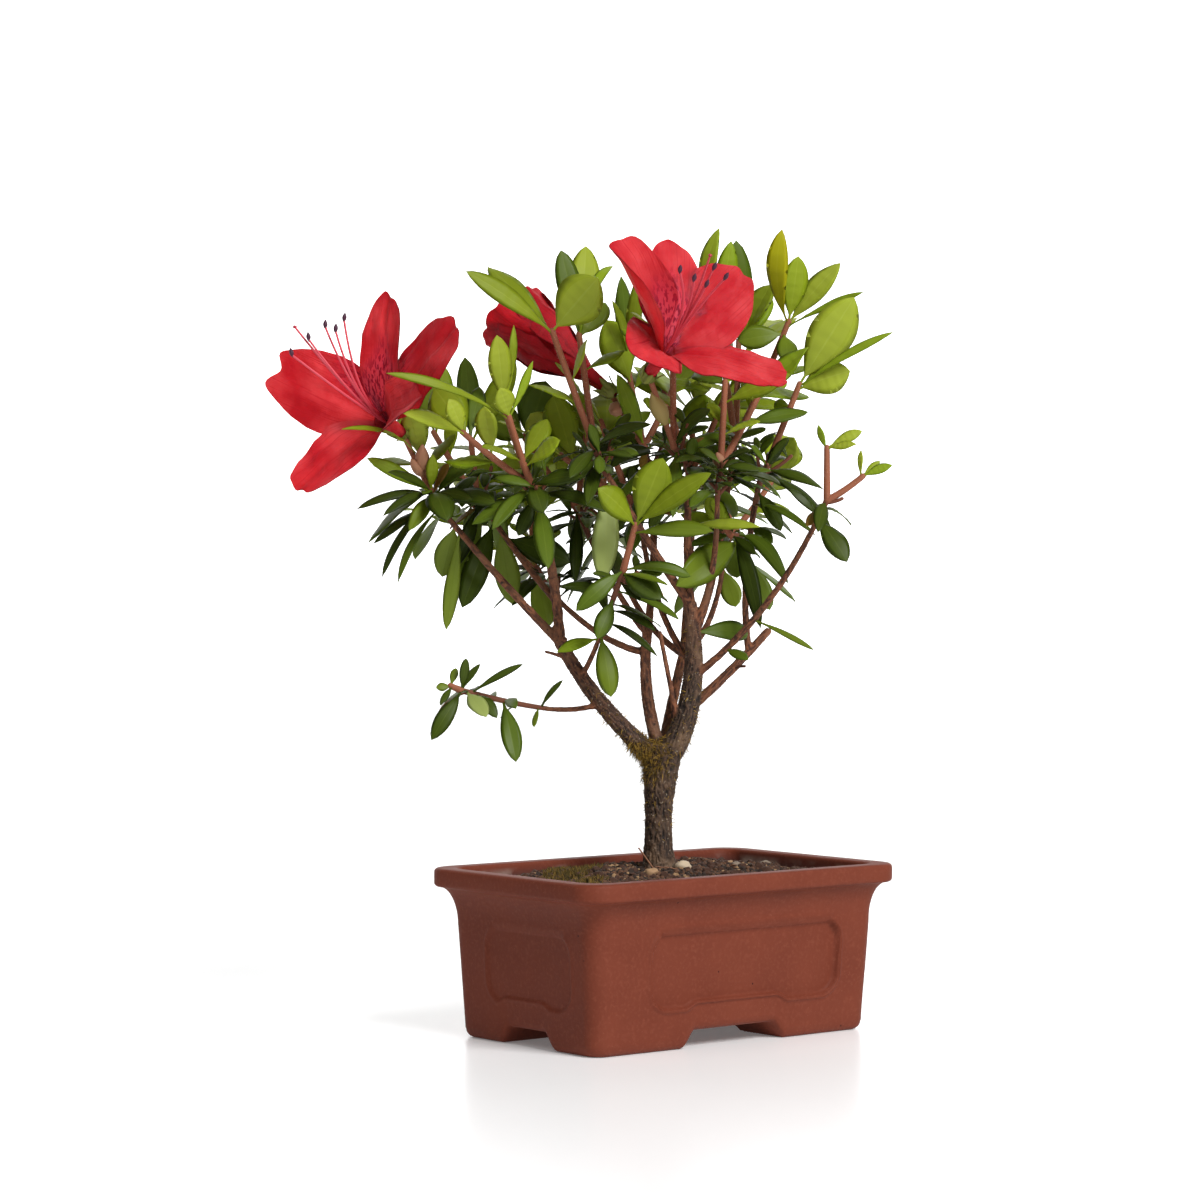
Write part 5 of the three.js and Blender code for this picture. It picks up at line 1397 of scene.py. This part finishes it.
# The leaves that the photograph shows, by the limb, stem or numbered shoot that carries them. Each has
# its share of the carrier's length, where its tip is seen, the tip's depth, its width, the way its
# upper side faces, its look and its arch
SEEN_LEAVES = [
    ("left_flower_spray", 0, [(0.9, (342, 429), -48, 3, "up", "olive", 0.1)]),
    ("left_flower_spray", "stem", [
        (0.95, (367, 458), -24, 5, "slant", "light", 0.05),
        (1, (433, 454), -22, 4, "front", "light", 0.05),
        (0.95, (388, 472), -30, 4, "slant", "dark", 0.1),
        (0.9, (357, 509), -28, 3.6, "slant", "dark", 0.15),
        (0.9, (383, 516), -34, 3.8, "slant", "dark", 0.15),
        (0.8, (382, 577), -18, 3.4, "left", "dark", 0.12),
        (0.5, (398, 582), -26, 3.4, "left", "mid", 0.1),
        (0.9, (409, 531), -30, 5, "front", "mid", 0.1),
        (0.95, (447, 521), -36, 9, "front", "dark", 0.12),
        (0.9, (473, 500), -26, 5, "slant", "dark", 0.12),
    ]),
    ("left_outer_limb", None, [
        (0.96, (442, 577), -6, 8.5, "under", "mid", 0.06),
        (0.92, (446, 630), -12, 5, "under", "mid", 0.05),
    ]),
    ("left_shoulder_spray", "stem", [
        (0.5, (455, 590), 2, 7, "under", "mid", 0.05),
        (0.8, (456, 567), -4, 5, "front", "dark", 0.06),
    ]),
    ("left_middle_limb", None, [
        (0.93, (462, 608), -8, 8.5, "front", "dark", 0.08),
        (0.85, (512, 604), 8, 8.5, "under", "mid", 0.05),
        (0.75, (570, 563), -4, 10, "front", "dark", 0.05),
    ]),
    ("left_shoulder_spray", "stem", [(1, (485, 526), 0, 4.5, "front", "dark", 0.1)]),
    ("left_shoulder_spray", 0, [
        (0.98, (465, 357), 8, 7.5, "front", "mid", 0.05),
        (0.95, (516, 362), 14, 8, "front", "light", 0.05),
    ]),
    ("left_shoulder_spray", 1, [
        (0.98, (418, 362), 2, 10, "front", "mid", 0.05),
        (0.95, (444, 366), 6, 8, "front", "light", 0.05),
    ]),
    ("left_crown_spray", 1, [(0.95, (386, 373), -54, 3.6, "up", "olive", 0.08)]),
    ("left_crown_spray", 2, [
        (0.98, (497, 335), -28, 8, "front", "light", 0.04),
        (0.95, (514, 325), -14, 3.4, "right", "light", 0.04),
    ]),
    ("left_crown_spray", 0, [
        (0.95, (403, 413), -46, 6.5, "slant", "light", 0.06),
        (0.98, (449, 399), -32, 6.5, "front", "light", 0.05),
        (0.9, (434, 388), -20, 13, "front", "olive", 0.05),
        (0.9, (480, 387), -16, 6, "front", "mid", 0.05),
    ]),
    ("left_crown_spray", 1, [
        (0.98, (500, 388), -44, 7, "front", "light", 0.04),
        (0.98, (533, 361), -36, 3.4, "right", "light", 0.04),
    ]),
    ("left_crown_spray", "stem", [
        (1, (543, 513), -36, 7.5, "front", "dark", 0.1),
        (0.6, (518, 536), -26, 5, "front", "dark", 0.08),
        (0.95, (582, 476), -34, 5.5, "slant", "dark", 0.08),
    ]),
    ("low_left_spray", "stem", [
        (1, (431, 740), -30, 5.5, "front", "dark", 0.12),
        (0.55, (516, 762), -26, 6.5, "front", "mid", 0.06),
        (0.9, (523, 664), -26, 2.6, "slant", "dark", 0.06),
        (1, (466, 658), -24, 3.2, "front", "dark", 0.06),
        (1, (480, 664), -20, 3, "left", "dark", 0.06),
    ]),
    ("low_left_spray", 0, [
        (0.9, (436, 688), -24, 3, "slant", "mid", 0.06),
        (0.8, (440, 705), -28, 2.4, "slant", "dark", 0.06),
        (0.95, (456, 668), -20, 2.6, "front", "mid", 0.06),
    ]),
    ("low_left_spray", "stem", [
        (0.95, (486, 717), -34, 6, "front", "pale", 0.04),
        (0.85, (497, 718), -28, 4.4, "front", "dark", 0.15),
        (0.05, (563, 680), -16, 2, "slant", "dark", 0.12),
        (0.08, (534, 727), -18, 2.4, "left", "mid", 0.06),
    ]),
    ("front_spray", 0, [
        (0.97, (663, 458), -40, 12, "front", "olive", 0.05),
        (0.95, (711, 473), -50, 9, "slant", "olive", 0.06),
        (0.95, (598, 488), -46, 9.5, "slant", "olive", 0.08),
        (0.8, (713, 531), -46, 6, "slant", "mid", 0.06),
    ]),
    ("front_spray", "stem", [
        (1, (576, 611), -40, 6, "front", "mid", 0.12),
        (0.6, (597, 639), -34, 6, "front", "mid", 0.08),
        (0.95, (661, 600), -44, 8, "front", "dark", 0.1),
        (0.95, (668, 585), -46, 3, "up", "mid", 0.08),
    ]),
    ("front_twig", None, [
        (0.9, (557, 652), -26, 4.6, "slant", "light", 0.1),
        (0.98, (611, 697), -26, 7.4, "front", "mid", 0.06),
    ]),
    ("centre_limb", None, [(0.98, (602, 581), -30, 8.6, "front", "pale", 0.04)]),
    ("middle_fork_spray", "stem", [(1, (575, 584), 20, 5, "front", "dark", 0.06)]),
    ("middle_fork_spray", 1, [
        (0.95, (546, 381), 26, 14, "front", "mid", 0.04),
        (0.95, (489, 412), 24, 12, "front", "mid", 0.04),
    ]),
    ("back_left_spray", "stem", [(1, (548, 628), 30, 8, "under", "mid", 0.05)]),
    ("centre_crown_spray", 1, [
        (0.97, (466, 271), -36, 7, "slant", "olive", 0.05),
        (0.99, (598, 278), -36, 16, "front", "light", 0.03),
        (0.95, (488, 267), 4, 8, "front", "olive", 0.05),
    ]),
    ("centre_crown_spray", 0, [
        (0.98, (561, 250), -16, 8, "front", "mid", 0.04),
        (0.97, (606, 303), -12, 8, "front", "mid", 0.05),
        (0.98, (613, 266), -8, 3.4, "up", "light", 0.3),
        (0.98, (586, 246), -8, 10, "front", "light", 0.04),
    ]),
    ("back_flower_spray", 1, [
        (0.78, (606, 320), 10, 12.5, "front", "light", 0.05),
        (0.9, (622, 324), 24, 8, "front", "mid", 0.05),
        (0.97, (621, 276), 18, 7, "front", "mid", 0.05),
        (0.95, (612, 300), 4, 3.4, "right", "olive", 0.08),
    ]),
    ("back_flower_spray", "stem", [(1, (617, 374), 4, 7, "front", "light", 0.05)]),
    ("back_flower_spray", 1, [(0.98, (638, 275), 6, 5.5, "front", "olive", 0.05)]),
    ("right_crown_spray", 2, [
        (0.97, (719, 228), 6, 7, "left", "light", 0.2),
        (0.98, (731, 241), 8, 7, "front", "light", 0.05),
    ]),
    ("right_crown_spray", 1, [(0.98, (736, 240), 26, 9.5, "front", "mid", 0.05)]),
    ("right_crown_spray", 0, [
        (0.98, (782, 229), 6, 7.6, "left", "gold", 0.14),
        (0.99, (798, 256), 10, 9, "front", "light", 0.04),
        (0.97, (840, 263), 12, 8.4, "slant", "light", 0.05),
        (0.95, (863, 292), 0, 3.2, "up", "light", 0.03),
        (0.9, (788, 364), 6, 7, "front", "mid", 0.08),
        (0.9, (738, 341), 14, 8, "front", "mid", 0.06),
    ]),
    ("right_top_spray", 0, [
        (0.98, (854, 297), -8, 15, "front", "light", 0.04),
        (0.95, (893, 332), -12, 3.4, "up", "light", 0.05),
        (0.93, (850, 371), -4, 11, "front", "light", 0.08),
    ]),
    ("right_inner_spray", 0, [
        (0.95, (808, 347), -8, 8, "slant", "light", 0.05),
        (0.6, (808, 412), -2, 6, "slant", "mid", 0.05),
    ]),
    ("right_inner_spray", 1, [
        (0.75, (790, 374), -16, 9, "slant", "olive", 0.06),
        (0.95, (697, 371), 0, 10, "front", "mid", 0.08),
    ]),
    ("right_top_spray", "stem", [(1, (823, 489), -10, 5, "slant", "dark", 0.12)]),
    ("right_shoot", None, [
        (0.97, (781, 531), -2, 5.4, "front", "dark", 0.08),
        (0.9, (815, 535), -12, 3, "slant", "mid", 0.14),
        (0.78, (773, 543), 0, 4.4, "front", "mid", 0.08),
        (0.6, (770, 610), 8, 6.8, "under", "mid", 0.06),
    ]),
    ("flower_limb", None, [(0.65, (760, 527), -24, 4.8, "slant", "light", 0.06)]),
    ("right_side_twig", None, [(0.95, (676, 586), -14, 11, "front", "mid", 0.08)]),
    ("right_side_spray", "stem", [(0.7, (737, 578), 2, 8, "under", "mid", 0.05)]),
    ("rear_right_limb", None, [(0.97, (736, 607), 44, 7, "under", "mid", 0.06)]),
    ("right_stem", None, [(0.86, (748, 634), 8, 7, "front", "mid", 0.14)]),
    ("long_twig", None, [
        (0.97, (847, 562), -34, 7.4, "front", "dark", 0.1),
        (0.98, (789, 489), -26, 3.2, "slant", "dark", 0.1),
        (0.42, (814, 650), -22, 2.4, "up", "mid", 0.04),
        (0.22, (748, 660), -16, 4, "front", "mid", 0.05),
    ]),
    ("right_twig_spray", 1, [
        (0.95, (818, 425), -27, 2.6, "left", "light", 0.04),
        (0.98, (862, 431), -28, 3.8, "slant", "light", 0.05),
        (0.98, (856, 444), -32, 3.4, "slant", "light", 0.05),
    ]),
    ("right_twig_spray", 0, [
        (0.98, (892, 465), -28, 3.8, "slant", "light", 0.05),
        (0.97, (880, 461), -24, 2.4, "slant", "light", 0.05),
        (0.95, (861, 450), -27, 2.2, "left", "light", 0.06),
    ]),
]
ENOUGH_SEEN = 2
BEHIND = 0.7

# Places of the picture where the photograph shows sky between the leaves: left, top, right, bottom
SKY = [(455, 632, 545, 690), (300, 600, 436, 680), (470, 722, 510, 780), (765, 615, 960, 700),
       (870, 350, 960, 440), (795, 412, 852, 520), (850, 470, 960, 548)]

leaf_dice = np.random.default_rng(31)
leaf_piles = {"young": Pile(), "old": Pile()}


def in_view(across, down, depth):
    """The point of the tree's frame that the picture shows at a place, at a depth."""
    away = depth - CAMERA_PLACE[1]
    x = CAMERA_PLACE[0] + (across - PICTURE / 2) / FOCAL * away
    z = CAMERA_PLACE[2] - away * math.tan(math.atan((down - PICTURE / 2) / FOCAL) + CAMERA_DROP)
    return np.array([x, depth, z])


def in_sky(point):
    """Whether the picture shows a point of the tree's frame where the sky is open."""
    offset = point - vector(CAMERA_PLACE)
    across = PICTURE / 2 + FOCAL * offset[0] / offset[1]
    down = PICTURE / 2 - FOCAL * math.tan(math.atan(offset[2] / offset[1]) + CAMERA_DROP)
    return any(left < across < right and top < down < bottom for left, top, right, bottom in SKY)


def carrier(name, part):
    """The limb, or a spray's stem or numbered shoot, that carries leaves; nothing if it found no room."""
    if part is None:
        return curves[name]
    growth = growths[name]
    return growth["stem"] if part == "stem" else growth["shoots"].get(part)


def seen_leaf(twig, share, tip, width, facing, arch):
    """A leaf from its twig to the place of its tip, arched towards its upper side."""
    root = twig.at(share)
    line = tip - root
    length = np.linalg.norm(line)
    side = unit(np.cross(line, facing))
    hump = np.cross(side, line) * 4 * arch
    return {"root": root, "reach": line + hump, "sag": hump, "side": side, "length": length,
            "slimness": width / length}


def whorl_leaf(growth, kind, twig, share, place, pitches, length):
    """One leaf of a whorl: its turn, pitch and size come from the plant's draws."""
    draws = growth["draws"]
    turn = place * GOLDEN_TURN + TURN_SPREAD * (draws.next() - 0.5)
    pitch = math.radians(draws.between(*pitches))
    length = length * (1 + LEAF_LENGTH_SPREAD * (2 * draws.next() - 1))
    droop = growth["spray"]["droop"] if kind == "old" else YOUNG_DROOP
    return {
        "kind": kind, "root": twig.at(share), "axis": twig.along(share), "turn": turn, "pitch": pitch,
        "length": length, "sag": np.array([0, 0, droop * length]), "shades": STREWN_SHADES[kind],
        "slimness": leaf_dice.uniform(*(OLD_SLIMNESS if kind == "old" else YOUNG_SLIMNESS)),
    }


def aim(leaf):
    """Points a leaf of a whorl by its pitch and turn on the twig, with its blade turned to the light."""
    way = tilted(leaf["axis"], leaf["pitch"], leaf["turn"])
    leaf["reach"] = way * leaf["length"]
    upper = np.cross(unit(np.cross(way, leaf["axis"])), way)
    leaf["side"] = unit(np.cross(way, upper + LIGHT_PULL * unit(LIGHT_WAY)))


def leaf_frame(leaf, run):
    """The rib's points, the leaf's side and its upper side along the rib."""
    run = np.asarray(run, float)[:, None]
    rib = leaf["root"] + leaf["reach"] * run - leaf["sag"] * run ** 2
    upper = np.cross(leaf["side"], leaf["reach"] - 2 * leaf["sag"] * run)
    return rib, leaf["side"], upper / np.linalg.norm(upper, axis=1)[:, None]


def leaf_room(leaf, shares, clearance):
    """The plain wedge that a leaf takes up."""
    rib, side, upper = leaf_frame(leaf, shares)
    blade = leaf["length"] * leaf["slimness"] / 2 * np.sin(math.pi * np.array(shares)) ** LEAF_FULLNESS
    half = (np.maximum(blade, PETIOLE_HALF) + clearance)[:, None]
    thick = ROOM_THICKNESS + clearance
    return np.stack([rib - side * half + upper * thick, rib + side * half + upper * thick,
                     rib - upper * thick], axis=1)


def leaf_grid(leaf, dice):
    """The leaf itself: a folded, quilted blade on a short stalk, as closed rings from root to tip."""
    run = np.linspace(0, 1, LEAF_ROWS[leaf["kind"]])
    rib, side, upper = leaf_frame(leaf, run)
    blade = np.clip((run - PETIOLE) / (1 - PETIOLE), 0, 1)
    outline = np.sin(math.pi * blade ** LEAF_FORM["widest"]) ** BLUNTNESS[leaf["kind"]]
    half = leaf["length"] * leaf["slimness"] / 2 * outline
    half = np.maximum(half, PETIOLE_HALF * (1 - smoothstep(*LEAF_FORM["tip"], run)))
    fold = dice.uniform(*LEAF_FORM["fold"])
    curl = dice.uniform(*LEAF_FORM["curl"])
    twist = dice.normal(0, LEAF_FORM["twist"]) * run ** 2
    wave = dice.uniform(*LEAF_WAVE["height"]) * leaf["length"]
    phase = dice.uniform(0, math.tau)
    turned_side = np.cos(twist)[:, None] * side + np.sin(twist)[:, None] * upper
    turned_upper = np.cos(twist)[:, None] * upper - np.sin(twist)[:, None] * side

    def edge(u, lift):
        ripple = np.sin(math.tau * QUILT["veins"] * (blade - QUILT["slant"] * abs(u)))
        quilt = QUILT["height"] * ripple * min(1, QUILT["edge"] * (1 - abs(u)))
        rise = half * (fold * abs(u) - curl * u * u) + quilt * smoothstep(*QUILT["start"], run)
        ruffle = np.sin(LEAF_WAVE["waves"] * run + phase + LEAF_WAVE["slant"] * u)
        rise = rise + wave * u * u * ruffle * half / leaf["length"] * 2
        return rib + turned_side * (half * u)[:, None] + turned_upper * (rise + lift)[:, None]

    top = [edge(u, LEAF_THICKNESS / 2 if abs(u) < 1 else 0) for u in LEAF_STRIPS]
    bottom = [edge(u, -LEAF_THICKNESS / 2) for u in LEAF_STRIPS[-2:0:-1]]
    return np.stack(top + bottom, axis=1)


def leaf_looks(name, shades, roughness, pale):
    """Four plain materials for each shade: margin, inner blade, midrib and underside."""
    looks = []
    for number, shade in enumerate(shades):
        for part, share in LEAF_PALENESS.items():
            colour = np.array(shade) * (1 - share) + np.array(pale) * share
            look = plain_material(f"{name}_{part}_{number}", colour, roughness)
            look.node_tree.nodes["Principled BSDF"].inputs["Specular IOR Level"].default_value = 0.16
            looks.append(look)
    return looks


def add_leaf(leaf, shade):
    """Puts a leaf on its pile, in the looks of its shade."""
    grid = to_row(leaf_grid(leaf, leaf_dice))
    looks = STRIP_LOOKS + len(LEAF_PALENESS) * shade
    leaf_piles[leaf["kind"]].add(grid, np.tile(looks, len(grid) - 1), True)


def place_leaf(growth, leaf):
    """Puts a leaf of a whorl where it finds room in a few turns."""
    owner, blades = growth["spray"]["name"], growth["blades"]
    shade = leaf_dice.choice(leaf["shades"])
    for _ in range(ATTEMPTS):
        aim(leaf)
        room = leaf_room(leaf, ROOM_SHARES[leaf["kind"]], GAP)
        blade = leaf_room(leaf, BLADE_SHARES, 0)
        fits = room[..., 2].min() > LOWEST_LEAF and not in_sky(room[-1, 2])
        if fits and not rooms.meets(room, owner) and not blades.meets(blade):
            rooms.keep(owner, room)
            blades.keep(owner, blade)
            add_leaf(leaf, shade)
            return
        leaf["turn"] += ATTEMPT_TURN


def full_whorl(name, number):
    """Whether the leaves that are seen at a shoot's end make up its whorl already."""
    return seen_counts.get((name, number), 0) >= ENOUGH_SEEN


def grow_leaves(growth):
    """The spray's main leaves: old ones along its stem, and a whorl of young ones at each shoot's end."""
    spray, stem = growth["spray"], growth["stem"]
    leaves = []
    for place in range(spray["old"]):
        share = spray["start"] + (1 - spray["start"]) * (place + 1) / spray["old"]
        leaves.append(whorl_leaf(growth, "old", stem, share, place, OLD_PITCH, spray["old_leaf"]))
    for number, shoot in growth["shoots"].items():
        for place in range(spray["young"]):
            down = WHORL_DEPTH * (1 - (place + 1) / spray["young"]) / shoot.length()
            leaf = whorl_leaf(growth, "young", shoot, 1 - down, place, YOUNG_PITCH, spray["young_leaf"])
            aim(leaf)
            if not full_whorl(spray["name"], number) or leaf["reach"][1] > BEHIND * leaf["length"]:
                leaves.append(leaf)
    for leaf in leaves:
        place_leaf(growth, leaf)


ROSETTE = {"leaves": 6, "leaves_if_short": 3, "length": 12, "most": 0.7, "slimness": 0.28,
           "pitch": (45, 105), "droop": 0.2, "depth": 4}
FINE_TWIGS = {"count": 3, "length": (5, 10), "pitch": (40, 70), "span": (0.1, 0.9), "rise": 0.25,
              "radius": 0.6, "steps": 6, "sides": 7, "room_steps": 4, "least_reach": 6,
              "leaves": 4, "leaf": 0.58, "leaf_pitch": (35, 80), "step": 0.12, "droop": 0.6}
MID_SHOOT = {"leaves": 2, "pitch": (35, 65), "length": 0.6, "shares": (0.25, 0.7)}
TIP = {"leaves": 2, "share": 0.99, "pitch": (6, 22), "length": 0.5}
SHORT_REACH = 16


def grow_finer(growth):
    """Finer growth in the same reach: rosettes, side twigs with small leaves, and leaves up the shoots."""
    spray, stem, draws = growth["spray"], growth["stem"], growth["draws"]
    short = spray["reach"] < SHORT_REACH
    for place in range(ROSETTE["leaves_if_short"] if short else ROSETTE["leaves"]):
        share = 1 - ROSETTE["depth"] * draws.next() / stem.length()
        length = min(ROSETTE["length"], spray["old_leaf"] * ROSETTE["most"])
        leaf = whorl_leaf(growth, "old", stem, share, place, ROSETTE["pitch"], length)
        leaf["slimness"] = ROSETTE["slimness"]
        leaf["shades"] = STREWN_SHADES["rosette"]
        leaf["sag"] = np.array([0, 0, ROSETTE["droop"] * leaf["length"]])
        place_leaf(growth, leaf)
    for place in range(int(spray["reach"] > FINE_TWIGS["least_reach"]) if short else FINE_TWIGS["count"]):
        first, last = FINE_TWIGS["span"]
        share = draws.between(max(spray["start"], first), last)
        pitch = math.radians(draws.between(*FINE_TWIGS["pitch"]))
        way = tilted(stem.along(share), pitch, place * GOLDEN_TURN)
        length = draws.between(*FINE_TWIGS["length"])
        start = stem.at(share)
        end = start + way * length + np.array([0, 0, length * FINE_TWIGS["rise"]])
        twig = Bend(start, start + way * length / 2, end)
        room = tube(twig, np.full(FINE_TWIGS["room_steps"], FINE_TWIGS["radius"]), ROOM_SIDES, GAP)
        if rooms.meets(room, spray["name"]):
            continue
        rooms.keep(spray["name"], room)
        radii = np.full(FINE_TWIGS["steps"], FINE_TWIGS["radius"])
        twig_pile.add(to_row(capped(tube(twig, radii, FINE_TWIGS["sides"]))), 0, True)
        for number in range(FINE_TWIGS["leaves"]):
            leaf = whorl_leaf(growth, "old", twig, 1 - FINE_TWIGS["step"] * number, number,
                              FINE_TWIGS["leaf_pitch"], spray["old_leaf"] * FINE_TWIGS["leaf"])
            leaf["sag"] *= FINE_TWIGS["droop"]
            place_leaf(growth, leaf)
    for number, shoot in growth["shoots"].items():
        for place in range(0 if full_whorl(spray["name"], number) else TIP["leaves"]):
            leaf = whorl_leaf(growth, "young", shoot, TIP["share"], place, TIP["pitch"],
                              spray["young_leaf"] * TIP["length"])
            place_leaf(growth, leaf)
        for place in range(0 if short else MID_SHOOT["leaves"]):
            share = draws.between(*MID_SHOOT["shares"])
            leaf = whorl_leaf(growth, "young", shoot, share, place, MID_SHOOT["pitch"],
                              spray["young_leaf"] * MID_SHOOT["length"])
            place_leaf(growth, leaf)


for growth in growths.values():
    growth["blades"] = Rooms()
seen_counts = {}
for name, part, leaves in SEEN_LEAVES:
    twig = carrier(name, part)
    if twig is None:
        continue
    seen_counts[name, part] = seen_counts.get((name, part), 0) + len(leaves)
    for share, tip, depth, width, facing, look, arch in leaves:
        leaf = seen_leaf(twig, share, in_view(*tip, depth), width, FACINGS[facing], arch)
        leaf["kind"], shades = LOOKS[look]
        rooms.keep(name, leaf_room(leaf, ROOM_SHARES[leaf["kind"]], GAP))
        if name in growths:
            growths[name]["blades"].keep(name, leaf_room(leaf, BLADE_SHARES, 0))
        add_leaf(leaf, leaf_dice.choice(shades))
for growth in growths.values():
    grow_leaves(growth)
for growth in growths.values():
    grow_finer(growth)

spray_names = [spray["name"] for spray in sprays]
twigs = twig_pile.piece("twigs_and_shoots", twig_looks)
hairs = hair_pile.piece("shoot_hairs", [plain_material("shoot_hair", (186, 140, 112), 0.8)])
young_looks = leaf_looks("young", YOUNG_SHADES, roughness=0.5, pale=(200, 206, 130))
old_looks = leaf_looks("old", OLD_SHADES, roughness=0.42, pale=(150, 164, 76))
young_leaves = leaf_piles["young"].piece("young_leaves", young_looks)
old_leaves = leaf_piles["old"].piece("old_leaves", old_looks)
for piece in (twigs, hairs, young_leaves, old_leaves):
    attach(piece, "root")
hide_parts(*spray_names)
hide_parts(*spray_names)
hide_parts(*spray_names)
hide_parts(*stalks)

# Stage
# A plain pale floor and a lit backdrop, a large soft lamp at the upper right with a weak one at the
# left, and the photograph's camera.
STAGE_HALF = 3.0


def stage_plane(name, corners, material):
    """A flat square of the studio."""
    mesh = bpy.data.meshes.new(name)
    mesh.from_pydata(corners, [], [(0, 1, 2, 3)])
    mesh.materials.append(material)
    plane = bpy.data.objects.new(name, mesh)
    bpy.context.scene.collection.objects.link(plane)


def studio_corner(x, y, z):
    """A corner in metres, right of, behind and above the middle of the floor as the camera sees it."""
    cos, sin = math.cos(TREE_TURN), math.sin(TREE_TURN)
    return (x * cos - y * sin, x * sin + y * cos, z)


pale, _, shader = new_material("pale_floor")
shader.inputs["Base Color"].default_value = (0.92, 0.92, 0.92, 1)
shader.inputs["Emission Color"].default_value = (1, 1, 1, 1)
shader.inputs["Emission Strength"].default_value = 0.12
shader.inputs["Roughness"].default_value = 0.3
shader.inputs["Specular IOR Level"].default_value = 0.3
white, _, shader = new_material("lit_backdrop")
shader.inputs["Base Color"].default_value = (0.9, 0.9, 0.9, 1)
shader.inputs["Emission Color"].default_value = (1, 1, 1, 1)
shader.inputs["Emission Strength"].default_value = 1.0
ground_corners = [studio_corner(x, y, 0) for x, y in ((-1, -1), (1, -1), (1, 1), (-1, 1))]
stage_plane("floor", [tuple(STAGE_HALF * value for value in corner) for corner in ground_corners], pale)
wall_corners = [studio_corner(x, 1, z) for x, z in ((-1, 0), (1, 0), (1, 1), (-1, 1))]
stage_plane("backdrop", [tuple(STAGE_HALF * value for value in corner) for corner in wall_corners], white)

world = bpy.data.worlds.new("studio")
world.use_nodes = True
background = world.node_tree.nodes["Background"]
background.inputs["Color"].default_value = (1, 1, 1, 1)
background.inputs["Strength"].default_value = 0.13
bpy.context.scene.world = world


def lamp(name, place, target, size, power):
    """A square soft lamp at a place of the tree's frame, aimed at another."""
    light = bpy.data.lights.new(name, "AREA")
    light.size = size
    light.energy = power
    lamp_object = bpy.data.objects.new(name, light)
    start, aim = Vector(to_row(place) * MM), Vector(to_row(target) * MM)
    lamp_object.location = start
    lamp_object.rotation_euler = (aim - start).to_track_quat("-Z", "Y").to_euler()
    bpy.context.scene.collection.objects.link(lamp_object)


lamp("key", place=(2000, -2400, 2540), target=(0, 0, 60), size=1.8, power=190)
lamp("fill", place=(-1500, -1400, 2900), target=(0, 0, 120), size=2.0, power=18)

camera_data = bpy.data.cameras.new("camera")
camera_data.sensor_width = SENSOR
camera_data.lens = LENS
camera = bpy.data.objects.new("camera", camera_data)
camera.location = Vector(to_row(CAMERA_PLACE) * MM)
camera.rotation_euler = (math.pi / 2 - CAMERA_DROP, 0, TREE_TURN)
bpy.context.scene.collection.objects.link(camera)
bpy.context.scene.camera = camera
bpy.context.scene.view_settings.view_transform = "Standard"
